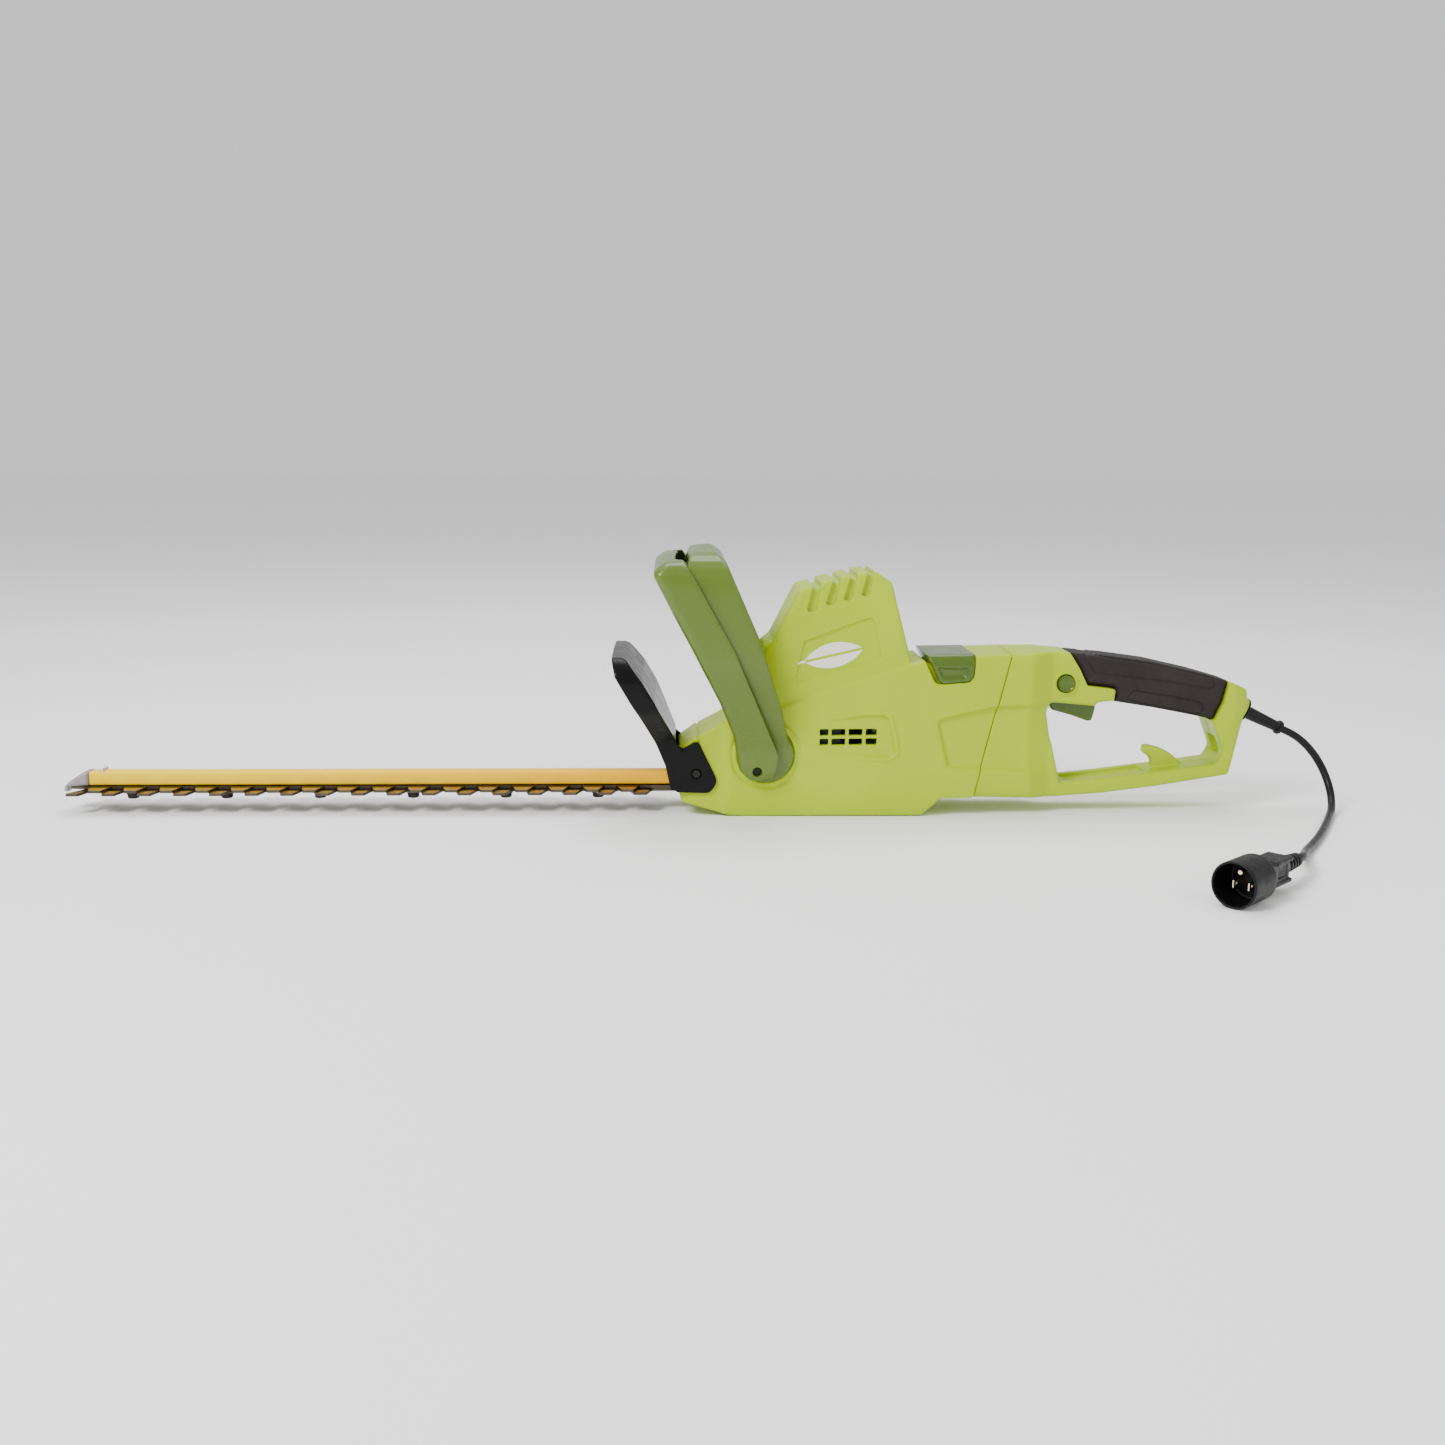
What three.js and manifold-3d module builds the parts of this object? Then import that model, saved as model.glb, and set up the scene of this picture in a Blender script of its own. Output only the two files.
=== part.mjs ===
// Corded electric hedge trimmer with a rotating rear handle, as an assembly of separate pieces.
// Millimetres, +Z up, the blade points to -X and the rear handle to +X; the belly stands on Z = 0.
import * as THREE from "three";
import { mergeVertices } from "three/addons/utils/BufferGeometryUtils.js";
import Module from "manifold-3d";

// ---------------------------------------------------------------- driving dimensions
const GAP = 0.3; // between pieces that touch
const RUNNING_GAP = 0.8; // round levers, buttons and the latch
const WALL = 3; // moulded wall

const TIP_X = -556; // nose of the tip guard
const REAR_X = 563.7; // rear edge of the cord gland
const BODY_HALF = 42; // half width of the motor body
const HUMP_HALF = 38; // half width of the motor hump
const NOSE_HALF = 36; // half width of the nose, under the guard's ears
const REAR_HALF = 38; // half width where the rear handle meets the body
const HANDLE_HALF = 24; // half width of the D handle

const BAR_HALF = 8; // blade bar
const BAR_BOTTOM = 24.5;
const BAR_TOP = 37.3;
const BAR_REAR = 60;
const BLADE_THICK = 2.6;
const BLADE_HALF = 11; // half width of a blade without its teeth
const TOOTH_REACH = 28; // tooth tips from the centre line
const TOOTH_PITCH = 32.7;
const TEETH = 17;
const LAST_TOOTH_X = -23; // with the blade in the middle of its stroke
const TOOTH_TIP = 12; // width of a tooth at its tip
const TOOTH_ROOT = 21;
const STROKE = 12; // travel of each blade
const YOKE_WALL = 6; // blade round its crank window
const POST_R = 4.5; // gear case's posts
const BOLT_PITCH = 87.2;
const BOLTS = 6;
const LAST_BOLT_X = -57.5;
const SHOULDER_R = 4; // bolt shoulder that the blades slide on

const CRANK_X = 118; // vertical axis of the drive gear
const GEAR_TEETH = 34;
const PINION_TEETH = 8;
const MODULE = 2;
const GEAR_BOTTOM = 27;
const GEAR_THICK = 10;
const CRANK_SHAFT_R = 5;
const ROTOR_SHAFT_R = 4;
const BEARING_WALL = 4;
const STATOR_R = 34;
const STATOR_BOTTOM = 66;
const STATOR_LENGTH = 72;
const ARMATURE_R = 20.6;
const FAN_R = 30;

const HUB = [98.5, 60]; // X, Z of the front handle's pivot
const HUB_R = 26;
const LOOP_HALF = 86; // half width of the front handle
const LEVER_TRAVEL = 4; // degrees
const TRIGGER_PIVOT = [374, 109];
const TRIGGER_TRAVEL = 7; // degrees
const LATCH_TRAVEL = 4;
const LOCK_TRAVEL = 3;

const SWIVEL = [308.5, 82]; // X, Z of the swivel's centre on the split
const SWIVEL_TILT = THREE.MathUtils.degToRad(13.5);
const RING_R = 18;
const RING_BORE = 12;
const RING_FLANGE = 4; // how far its flanges stand out, and how thick they are
const RING_HALF_LENGTH = 14;
const GROOVE_R = 29.5; // circle that the latch tongue follows
const TONGUE_THICK = 5;

const GRIP_HALF = 21.5;
const GRIP_THICK = 4;
const SCREW_R = 2;
const SCREW_HEAD_R = 3.6;
const CORD_R = 3.6;
const RELIEF_LENGTH = 37;
const PLUG_R = 18.5;
const PLUG_WALL = 2;

// ---------------------------------------------------------------- worked out from them
const CENTRE_X = (TIP_X + REAR_X) / 2;
const UPPER_Z = BAR_BOTTOM - GAP - BLADE_THICK;
const LOWER_Z = UPPER_Z - GAP - BLADE_THICK;
const MOTOR_X = CRANK_X + (MODULE * (GEAR_TEETH + PINION_TEETH)) / 2;
const THROW = STROKE / 2;
const ECCENTRIC_R = CRANK_SHAFT_R + THROW + 1;
const WINDOW = { along: ECCENTRIC_R + THROW * 2 + 0.5, across: ECCENTRIC_R + THROW + 0.5 };
const YOKE_HALF = WINDOW.across + YOKE_WALL;
const POST_Y = YOKE_HALF + 1 + POST_R; // front posts of the gear case, beside the blades
const PLATE_BOTTOM = GEAR_BOTTOM + GEAR_THICK + 3;
const PLATE_THICK = 6.5;
const STATOR_TOP = STATOR_BOTTOM + STATOR_LENGTH;
const SHELF_TOP = STATOR_TOP + 32;
const COVER_THICK = 5;
const PAD_INNER = BODY_HALF - 5; // inner face of the pads behind the handle's hubs
const splitX = (z) => SWIVEL[0] + (z - SWIVEL[1]) * Math.tan(SWIVEL_TILT);

// ---------------------------------------------------------------- tools of the model
const wasm = await Module();
wasm.setup();

const SIDE = new THREE.Matrix4().makeBasis(
  new THREE.Vector3(1, 0, 0), new THREE.Vector3(0, 0, 1), new THREE.Vector3(0, -1, 0));
const FRONT = new THREE.Matrix4().makeBasis(
  new THREE.Vector3(0, 1, 0), new THREE.Vector3(0, 0, 1), new THREE.Vector3(1, 0, 0));

function solidOf(geometry) {
  geometry.deleteAttribute("normal");
  geometry.deleteAttribute("uv");
  const merged = mergeVertices(geometry, 1e-4);
  const index = merged.index.array;
  const kept = [];
  for (let i = 0; i < index.length; i += 3) {
    const [a, b, c] = [index[i], index[i + 1], index[i + 2]];
    if (a !== b && b !== c && c !== a) kept.push(a, b, c);
  }
  const mesh = new wasm.Mesh({
    numProp: 3,
    vertProperties: merged.attributes.position.array,
    triVerts: new Uint32Array(kept),
  });
  return new wasm.Manifold(mesh);
}

function geometryOf(solid) {
  const mesh = solid.getMesh();
  const geometry = new THREE.BufferGeometry();
  geometry.setAttribute("position", new THREE.BufferAttribute(mesh.vertProperties, 3));
  geometry.setIndex(new THREE.BufferAttribute(mesh.triVerts, 1));
  return geometry;
}

// A closed outline of [a, b] corners, with a third number where a corner is rounded to that radius.
function shapeOf(points) {
  const shape = new THREE.Shape();
  const count = points.length;
  points.forEach((point, i) => {
    const corner = new THREE.Vector2(point[0], point[1]);
    const before = new THREE.Vector2(...points[(i + count - 1) % count].slice(0, 2)).sub(corner);
    const after = new THREE.Vector2(...points[(i + 1) % count].slice(0, 2)).sub(corner);
    const reach = Math.min(point[2] || 0, before.length() * 0.45, after.length() * 0.45);
    const start = corner.clone().addScaledVector(before.normalize(), reach);
    const end = corner.clone().addScaledVector(after.normalize(), reach);
    if (i === 0) shape.moveTo(start.x, start.y);
    else shape.lineTo(start.x, start.y);
    if (reach > 0) shape.quadraticCurveTo(corner.x, corner.y, end.x, end.y);
  });
  shape.closePath();
  return shape;
}

function extruded(points, depth, holes = []) {
  const shape = shapeOf(points);
  holes.forEach((hole) => shape.holes.push(shapeOf(hole)));
  return new THREE.ExtrudeGeometry(shape, { depth, bevelEnabled: false, curveSegments: 2 });
}

// Outlines seen from the side (X, Z), from above (X, Y) and from the front (Y, Z), pushed along the third axis.
const sidePrism = (points, y0, y1, holes) =>
  solidOf(extruded(points, y1 - y0, holes).applyMatrix4(SIDE).translate(0, y1, 0));
const planPrism = (points, z0, z1, holes) => solidOf(extruded(points, z1 - z0, holes).translate(0, 0, z0));
const frontPrism = (points, x0, x1, holes) =>
  solidOf(extruded(points, x1 - x0, holes).applyMatrix4(FRONT).translate(x0, 0, 0));
const box = (x0, x1, y0, y1, z0, z1) => planPrism([[x0, y0], [x1, y0], [x1, y1], [x0, y1]], z0, z1);

// A turned piece about +Z from a closed profile of [radius, height], given upwards on its outside.
function turned(profile, segments = 14) {
  const points = [...profile, profile[0]].map(([r, z]) => new THREE.Vector2(r, z));
  return solidOf(new THREE.LatheGeometry(points, segments).rotateX(Math.PI / 2));
}
const rod = (r, z0, z1, segments) => turned([[0, z0], [r, z0], [r, z1], [0, z1]], segments);
const tube = (bore, r, z0, z1, segments) => turned([[bore, z0], [r, z0], [r, z1], [bore, z1]], segments);

function moved(solid, x, y, z) {
  return solidOf(geometryOf(solid).translate(x, y, z));
}
// A piece made about +Z, laid along +Y with its height measured along Y, at (x, z).
const acrossY = (solid, x, z) => solidOf(geometryOf(solid).rotateX(-Math.PI / 2).translate(x, 0, z));
// The same for an axis in the XZ plane, at an angle below +X.
function alongTilt(solid, x, z, tilt) {
  return solidOf(geometryOf(solid).rotateY(Math.PI / 2 + tilt).translate(x, 0, z));
}
// Turned by an angle about a line along Y; positive carries +X points upwards.
function swung(solid, [x, z], degrees) {
  const geometry = geometryOf(solid).translate(-x, 0, -z);
  return solidOf(geometry.rotateY(-THREE.MathUtils.degToRad(degrees)).translate(x, 0, z));
}
const turnedRound = (solid, x) =>
  solidOf(geometryOf(solid).translate(-x, 0, 0).rotateZ(Math.PI).translate(x, 0, 0));
const both = (make) => make(1).add(make(-1));
const joined = (solids) => solids.reduce((all, one) => all.add(one));
const spanY = (s, near, far) => [Math.min(s * near, s * far), Math.max(s * near, s * far)];
const without = (solid, cuts) => cuts.reduce((all, one) => all.subtract(one), solid);

// The outline moved inwards by a distance (outwards when it is negative); its corners go round anticlockwise.
function inset(points, distance) {
  const count = points.length;
  return points.map((point, i) => {
    const here = new THREE.Vector2(point[0], point[1]);
    const before = new THREE.Vector2(...points[(i + count - 1) % count].slice(0, 2));
    const after = new THREE.Vector2(...points[(i + 1) % count].slice(0, 2));
    const along = here.clone().sub(before).normalize();
    const next = after.clone().sub(here).normalize();
    const n1 = new THREE.Vector2(-along.y, along.x);
    const n2 = new THREE.Vector2(-next.y, next.x);
    const miter = n1.add(n2).divideScalar(1 + n1.dot(n2) || 1);
    const rounding = point[2] ? [Math.max(point[2] - distance, 0)] : [];
    return [here.x + miter.x * distance, here.y + miter.y * distance, ...rounding];
  });
}

const MATERIALS = {
  green: new THREE.MeshStandardMaterial({ color: 0xb1c132, roughness: 0.42 }),
  olive: new THREE.MeshStandardMaterial({ color: 0x647032, roughness: 0.32 }),
  black: new THREE.MeshStandardMaterial({ color: 0x151516, roughness: 0.35 }),
  soft: new THREE.MeshStandardMaterial({ color: 0x3c3234, roughness: 0.75 }),
  yellow: new THREE.MeshStandardMaterial({ color: 0xfdd723, roughness: 0.4 }),
  grey: new THREE.MeshStandardMaterial({ color: 0x968c8f, roughness: 0.5 }),
  blade: new THREE.MeshStandardMaterial({ color: 0x8a7448, roughness: 0.4, metalness: 0.9 }),
  steel: new THREE.MeshStandardMaterial({ color: 0xa8a8aa, roughness: 0.35, metalness: 1 }),
  dark: new THREE.MeshStandardMaterial({ color: 0x303032, roughness: 0.5, metalness: 0.6 }),
  brass: new THREE.MeshStandardMaterial({ color: 0xc9a24a, roughness: 0.3, metalness: 1 }),
  copper: new THREE.MeshStandardMaterial({ color: 0xa8622c, roughness: 0.4, metalness: 1 }),
};
const trimmer = new THREE.Group();
trimmer.position.x = -CENTRE_X;

function piece(name, material, solid) {
  const mesh = new THREE.Mesh(geometryOf(solid), MATERIALS[material]);
  mesh.name = name;
  trimmer.add(mesh);
  return solid;
}

// ---------------------------------------------------------------- motor body: two shells
const BODY_SIDE = [
  [19, 22, 3], [22, 13, 4], [67, 0, 6], [245, 0, 4], [262, 17.5, 5], [splitX(17.5), 17.5],
  [splitX(153), 153], [249, 147, 6], [121, 107], [85, 97], [61, 89.5], [33.5, 75], [19, 65.5, 4],
];
const HUMP_SIDE = [
  [70, 80], [240, 80], [240, 147.3], [233, 146, 4], [217, 210, 6], [212, 217, 6], [196, 229, 12],
  [128, 211, 6], [105, 164, 5], [98, 158, 4], [84, 118], [61, 89.5],
];
const BODY_PLAN = [
  [0, NOSE_HALF], [0, -NOSE_HALF], [57, -NOSE_HALF], [66, -BODY_HALF, 8], [250, -BODY_HALF, 20],
  [330, -REAR_HALF], [330, REAR_HALF], [250, BODY_HALF, 20], [66, BODY_HALF, 8], [57, NOSE_HALF],
];
const bodyFront = (half, top, shoulder) => [
  [-half + 5, 0], [half - 5, 0], [half, 20, 10], [half, top - shoulder, shoulder], [half - shoulder, top, 6],
  [-half + shoulder, top, 6], [-half, top - shoulder, shoulder], [-half, 20, 10],
];
const bodyOuter = sidePrism(BODY_SIDE, -BODY_HALF, BODY_HALF)
  .intersect(planPrism(BODY_PLAN, -1, 240))
  .intersect(frontPrism(bodyFront(BODY_HALF, 156, 9), 0, 340))
  .add(sidePrism(HUMP_SIDE, -HUMP_HALF, HUMP_HALF)
    .intersect(frontPrism(bodyFront(HUMP_HALF, 229.5, 13), 50, 340)));

const CAVITY_REAR = 243;
const cavitySide = [
  [70, WALL], [CAVITY_REAR - 4, WALL], [CAVITY_REAR, 20], [CAVITY_REAR, 140], [127, 104], [88, 94], [70, 84],
];
const hubPads = both((s) => acrossY(rod(HUB_R + WALL, ...spanY(s, PAD_INNER, BODY_HALF)), ...HUB));
const noseRoom = sidePrism([[26, BAR_TOP + 5], [64, BAR_TOP + 5], [64, 84], [35, 71], [26, 66]],
  -NOSE_HALF + WALL, NOSE_HALF - WALL);
const rearRoom = box(CAVITY_REAR + WALL, 286, -BODY_HALF + WALL + 2, BODY_HALF - WALL - 2, 21, 50);
const cavity = sidePrism(cavitySide, -BODY_HALF + WALL, BODY_HALF - WALL)
  .add(noseRoom).add(rearRoom)
  .add(sidePrism(inset(HUMP_SIDE, WALL), -HUMP_HALF + WALL, HUMP_HALF - WALL)
    .intersect(frontPrism(inset(bodyFront(HUMP_HALF, 229.5, 13), WALL), 50, 340)))
  .subtract(hubPads);

// Shelves that hold the motor: under and over the stator, and round the upper bearing.
const shelf = (z0, z1, bore, half) =>
  box(MOTOR_X - 40, MOTOR_X + 40, -half, half, z0, z1)
    .subtract(moved(rod(bore, z0 - 1, z1 + 1, 20), MOTOR_X, 0, 0));
const BEARING_R = ROTOR_SHAFT_R + BEARING_WALL;
const shelves = joined([
  shelf(STATOR_BOTTOM - WALL - GAP, STATOR_BOTTOM - GAP, STATOR_R - WALL, PAD_INNER),
  shelf(STATOR_TOP + GAP, STATOR_TOP + GAP + WALL, STATOR_R - WALL, HUMP_HALF - 1),
  shelf(SHELF_TOP - 12, SHELF_TOP, BEARING_R + GAP, HUMP_HALF - 1),
]);

const HOUSING_SCREWS = [[46, 58], [234, 26], [138, 204]];
const screwBosses = (places, half) =>
  joined(places.map(([x, z]) => acrossY(rod(5.5, -half, half, 12), x, z)));
const screwHoles = (places, half) => joined(places.map(([x, z]) =>
  acrossY(turned([[0, -14], [SCREW_R + GAP, -14], [SCREW_R + GAP, half - 9], [SCREW_HEAD_R + GAP, half - 9],
    [SCREW_HEAD_R + GAP, half + 9], [0, half + 9]], 12), x, z)));

// Windows: four slanted slots in the top of the hump and a two by four grille low on each side.
const TOP_SLOTS = [148, 165.5, 182, 198];
const topSlot = (x) => {
  const rise = (x - TOP_SLOTS[0]) * 0.26;
  return [[x - 12, 190], [x - 5, 192], [x + 7, 221 + rise], [x, 217 + rise]];
};
const GRILLE_X = [148.5, 161, 176, 191];
const GRILLE_W = [8, 12.5, 12.5, 10];
const GRILLE_Z = [69, 78];
const slotCut = (outline) => both((s) => sidePrism(outline, s > 0 ? 22 : -50, s > 0 ? 50 : -22));
const windows = joined([
  ...TOP_SLOTS.map((x) => slotCut(topSlot(x))),
  ...GRILLE_Z.flatMap((z) => GRILLE_X.map((x, i) =>
    slotCut([[x, z], [x + GRILLE_W[i], z], [x + GRILLE_W[i], z + 5.5], [x, z + 5.5]]))),
]);

// Opening for the gear cover in the belly, and the channel that clamps the blade bar's root.
const COVER = { x0: 71.5, x1: 236, half: POST_Y + POST_R };
const coverPlan = (grow) => [
  [COVER.x0 - grow, -COVER.half - grow, 5], [COVER.x1 + grow, -COVER.half - grow, 5],
  [COVER.x1 + grow, COVER.half + grow, 5], [COVER.x0 - grow, COVER.half + grow, 5],
];
const coverOpening = planPrism(coverPlan(GAP), -1, COVER_THICK + GAP);
const bladeTunnel = box(0, 90, -BLADE_HALF - 2, BLADE_HALF + 2, 9, BAR_BOTTOM)
  .add(box(0, BAR_REAR + GAP, -BAR_HALF - GAP, BAR_HALF + GAP, BAR_BOTTOM - 1, BAR_TOP + GAP));

// ---------------------------------------------------------------- swivel, latch and their seats
const swivelPlane = (gap, reach) => [
  [splitX(-20) + gap, -20], [splitX(-20) + reach, -20], [splitX(260) + reach, 260], [splitX(260) + gap, 260],
];
const ringProfile = (grow) => {
  const [bore, body, flange] = [RING_BORE - grow, RING_R + grow, RING_R + RING_FLANGE + grow];
  const end = RING_HALF_LENGTH + grow;
  const step = RING_HALF_LENGTH - RING_FLANGE - grow;
  return [[bore, -end], [flange, -end], [flange, -step], [body, -step], [body, step], [flange, step],
    [flange, end], [bore, end]];
};
const onSwivel = (solid) => alongTilt(solid, ...SWIVEL, SWIVEL_TILT);
const ring = onSwivel(turned(ringProfile(0), 20));
const ringSeat = (grow) => onSwivel(turned(ringProfile(grow).map(([r, z]) => [r < RING_R ? 0 : r, z]), 20));
const wireWay = onSwivel(rod(RING_BORE - 1, -80, 40, 16));

const LATCH_SIDE = [[247, 150, 2], [259.5, 124.5, 4], [288, 126, 3], [292.5, 151.5, 2]];
const latchOuter = (grow, half) => sidePrism(inset(LATCH_SIDE, -grow), -half, half);
const latchCore = (grow) => frontPrism(
  [[-31 + grow, 100], [31 - grow, 100], [31 - grow, 137, 5], [24 - grow, 141 - grow], [-24 + grow, 141 - grow],
    [-31 + grow, 137, 5]], 230, 310);
const TONGUE_Z = SWIVEL[1] + GROOVE_R - TONGUE_THICK / 2 + 1;
const TONGUE_END = splitX(TONGUE_Z + TONGUE_THICK / 2) + 3.5;
const tongueSide = (grow, back) => [
  [268 - grow - back, TONGUE_Z - grow], [TONGUE_END + grow, TONGUE_Z - grow],
  [TONGUE_END + grow, TONGUE_Z + TONGUE_THICK + grow], [276 + grow, TONGUE_Z + TONGUE_THICK + grow],
  [276 + grow, 143], [268 - grow - back, 143],
];
const TONGUE_HALF = 5;
const latchSkin = frontPrism(bodyFront(BODY_HALF - 1.6, 154.5, 9), 230, 310);
const latch = latchOuter(0, 50).intersect(latchSkin).subtract(latchCore(0))
  .add(sidePrism(tongueSide(0, 0), -TONGUE_HALF, TONGUE_HALF));
const springRoom = box(268 - RUNNING_GAP - 14, 270, -5, 5, 126, 136);
const latchSeat = joined([
  latchOuter(RUNNING_GAP, 50),
  moved(latchOuter(RUNNING_GAP, 50), -LATCH_TRAVEL, 0, 0),
]).subtract(latchCore(RUNNING_GAP)).add(
  sidePrism(tongueSide(RUNNING_GAP, LATCH_TRAVEL), -TONGUE_HALF - RUNNING_GAP, TONGUE_HALF + RUNNING_GAP))
  .add(springRoom);

// ---------------------------------------------------------------- front handle and its switch lever
const loopFront = (grow, outer, inner) => {
  const side = (s) => [
    [s * (outer.foot + grow), 25], [s * (outer.foot + grow), 76], [s * (outer.top + grow), 150],
    [s * (outer.top + grow), 270], [s * (inner.top - grow), 270], [s * (inner.top - grow), 152],
    [s * (inner.foot - grow), 80], [s * (inner.foot - grow), 25],
  ];
  return both((s) => frontPrism(s > 0 ? side(1) : side(-1).reverse(), -60, 160));
};
const crossbar = (grow, half, low) => frontPrism(
  [[-half - grow, low - grow], [half + grow, low - grow], [half + grow, 300], [-half - grow, 300]], -60, 160);
const loopEnds = (grow, half, top) => frontPrism(
  [[-half - grow, 0], [half + grow, 0], [half + grow, top + grow - 26], [half + grow, top + grow, 30],
    [-half - grow, top + grow, 30], [-half - grow, top + grow - 26]], -60, 160);

const HANDLE_SIDE = [
  [-5, 229, 7], [32, 158], [55, 112], [68, 78], [76, 44, 14], [90, 34, 14], [108, 44, 12], [110, 60], [95, 96],
  [69, 159], [35, 221], [21, 245, 7],
];
const LEVER_SIDE = [
  [25, 232, 4], [58, 158], [82, 100], [86, 62], [100, 44], [118, 58], [118, 72], [113, 101], [91, 169.5],
  [62, 235, 8], [46, 253, 8], [28, 244, 4],
];
const HANDLE_FOOT = BODY_HALF + 4;
const handleBlank = sidePrism(HANDLE_SIDE, -LOOP_HALF, LOOP_HALF)
  .intersect(loopFront(0, { foot: HANDLE_FOOT + 10, top: LOOP_HALF },
    { foot: HANDLE_FOOT, top: LOOP_HALF - 19 }).add(crossbar(0, LOOP_HALF, 223)))
  .intersect(loopEnds(0, LOOP_HALF, 246));
const leverSolid = (grow) => sidePrism(inset(LEVER_SIDE, -grow), -LOOP_HALF, LOOP_HALF)
  .intersect(loopFront(grow, { foot: HANDLE_FOOT - GAP, top: LOOP_HALF - 4 },
    { foot: BODY_HALF + RUNNING_GAP, top: LOOP_HALF - 14 }).add(crossbar(grow, LOOP_HALF - 4, 234)))
  .intersect(loopEnds(grow, LOOP_HALF - 4, 254));

const POCKET_Y = BODY_HALF - 2;
const hubDisc = (r, near, far, at = HUB) =>
  both((s) => acrossY(rod(r, ...spanY(s, near, far), 22), ...at));
const PIVOT_R = 8;
const HANDLE_SCREW = [90.5, 46];
const HANDLE_SCREW_PAD = 5;
const lever = leverSolid(0)
  .add(hubDisc(HUB_R, POCKET_Y + GAP, HANDLE_FOOT - GAP))
  .subtract(hubDisc(PIVOT_R + RUNNING_GAP / 2, 0, 90))
  .subtract(hubDisc(HANDLE_SCREW_PAD + 2, 0, 90, HANDLE_SCREW));
const leverSweep = joined([0, 1, 2, 3, 4, 5].map((i) =>
  swung(leverSolid(RUNNING_GAP), HUB, (i * (LEVER_TRAVEL + 0.5)) / 5)));
const handleScrewHole = both((s) => acrossY(rod(SCREW_R + GAP, ...spanY(s, 20, 60), 12), ...HANDLE_SCREW)
  .add(acrossY(rod(SCREW_HEAD_R + GAP, ...spanY(s, HANDLE_FOOT + 3, 60), 12), ...HANDLE_SCREW)));
const frontHandle = handleBlank.subtract(leverSweep)
  .add(hubDisc(PIVOT_R, POCKET_Y + GAP, HANDLE_FOOT + 2))
  .add(hubDisc(HANDLE_SCREW_PAD, POCKET_Y + GAP, HANDLE_FOOT + 2, HANDLE_SCREW))
  .subtract(handleScrewHole);
const hubPocket = hubDisc(HUB_R + RUNNING_GAP, POCKET_Y, 60);

// ---------------------------------------------------------------- hand guard
const GUARD_REAR = [[16, 73.5], [7, 92.6], [-2.7, 113], [-14.3, 132.6], [-27.6, 150.5], [-35, 160]];
const GUARD_FRONT = [[-41, 160.5], [-35.3, 131.5], [-15.5, 101], [0.6, 68.6], [8.6, 48], [13, 26]];
const guardSide = [[13, 25], [16.5, 25], [16.5, 60], ...GUARD_REAR, ...GUARD_FRONT.slice(0, 5)];
const EAR_HALF = NOSE_HALF + GAP + WALL;
const GUARD_HALF = 80;
const guardFront = (shrink) => [
  [-EAR_HALF + shrink, 20], [EAR_HALF - shrink, 20], [EAR_HALF - shrink, 72], [GUARD_HALF - shrink, 104, 10],
  [GUARD_HALF - shrink - 4, 150 - shrink, 16], [GUARD_HALF - 34, 161 - shrink, 20],
  [-GUARD_HALF + 34, 161 - shrink, 20], [-GUARD_HALF + shrink + 4, 150 - shrink, 16],
  [-GUARD_HALF + shrink, 104, 10], [-EAR_HALF + shrink, 72],
];
const GUARD_THICK = 2.6;
const shield = sidePrism(guardSide, -GUARD_HALF, GUARD_HALF).intersect(frontPrism(guardFront(0), -60, 30));
const shieldHollow = moved(sidePrism(guardSide, -GUARD_HALF, GUARD_HALF), -GUARD_THICK, 0, -0.4)
  .intersect(frontPrism(guardFront(GUARD_THICK), -60, 30)).intersect(box(-80, 15, -90, 90, 74, 200));
const EAR_SIDE = [[15.5, 25], [48, 23.5, 4], [54, 36, 6], [36, 70.5, 3], [23, 64, 4], [15.5, 71]];
const ears = both((s) => sidePrism(EAR_SIDE, ...spanY(s, NOSE_HALF + GAP, EAR_HALF)));
const GUARD_SCREW = [35, 41];
const guardScrewHole = (reach) => both((s) =>
  acrossY(rod(SCREW_R + GAP, ...spanY(s, 20, reach), 12), ...GUARD_SCREW));
const guardWindow = box(-10, 18.5, -15, 15, 0, BAR_TOP + 3);
const handGuard = without(shield.subtract(shieldHollow).add(ears), [
  guardWindow, guardScrewHole(50), box(18.4, 60, -NOSE_HALF - GAP, NOSE_HALF + GAP, 0, 90)]);

// ---------------------------------------------------------------- body shells, cut and split
const bodySolid = without(
  bodyOuter.subtract(cavity).add(shelves.intersect(bodyOuter))
    .add(screwBosses(HOUSING_SCREWS, BODY_HALF - 3).intersect(bodyOuter)), [
    screwHoles(HOUSING_SCREWS, BODY_HALF - 2), windows, coverOpening, bladeTunnel, latchSeat, wireWay,
    ringSeat(GAP), hubPocket, guardScrewHole(50), handleScrewHole, sidePrism(swivelPlane(-GAP, 200), -80, 80),
  ]);
const halfSpace = (s) => box(-100, 700, ...(s > 0 ? [GAP / 2, 120] : [-120, -GAP / 2]), -20, 300);
piece("housing_left", "green", bodySolid.intersect(halfSpace(-1)));
piece("housing_right", "green", bodySolid.intersect(halfSpace(1)));

function screw(length, head = 2.6) {
  return turned([[0, 0], [SCREW_R, 0], [SCREW_R, length], [SCREW_HEAD_R, length], [SCREW_HEAD_R, length + head],
    [0, length + head]], 8);
}
HOUSING_SCREWS.forEach(([x, z], i) =>
  piece(`housing_screw_${i + 1}`, "steel", acrossY(moved(screw(BODY_HALF), 0, 0, GAP - 10), x, z)));

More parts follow.
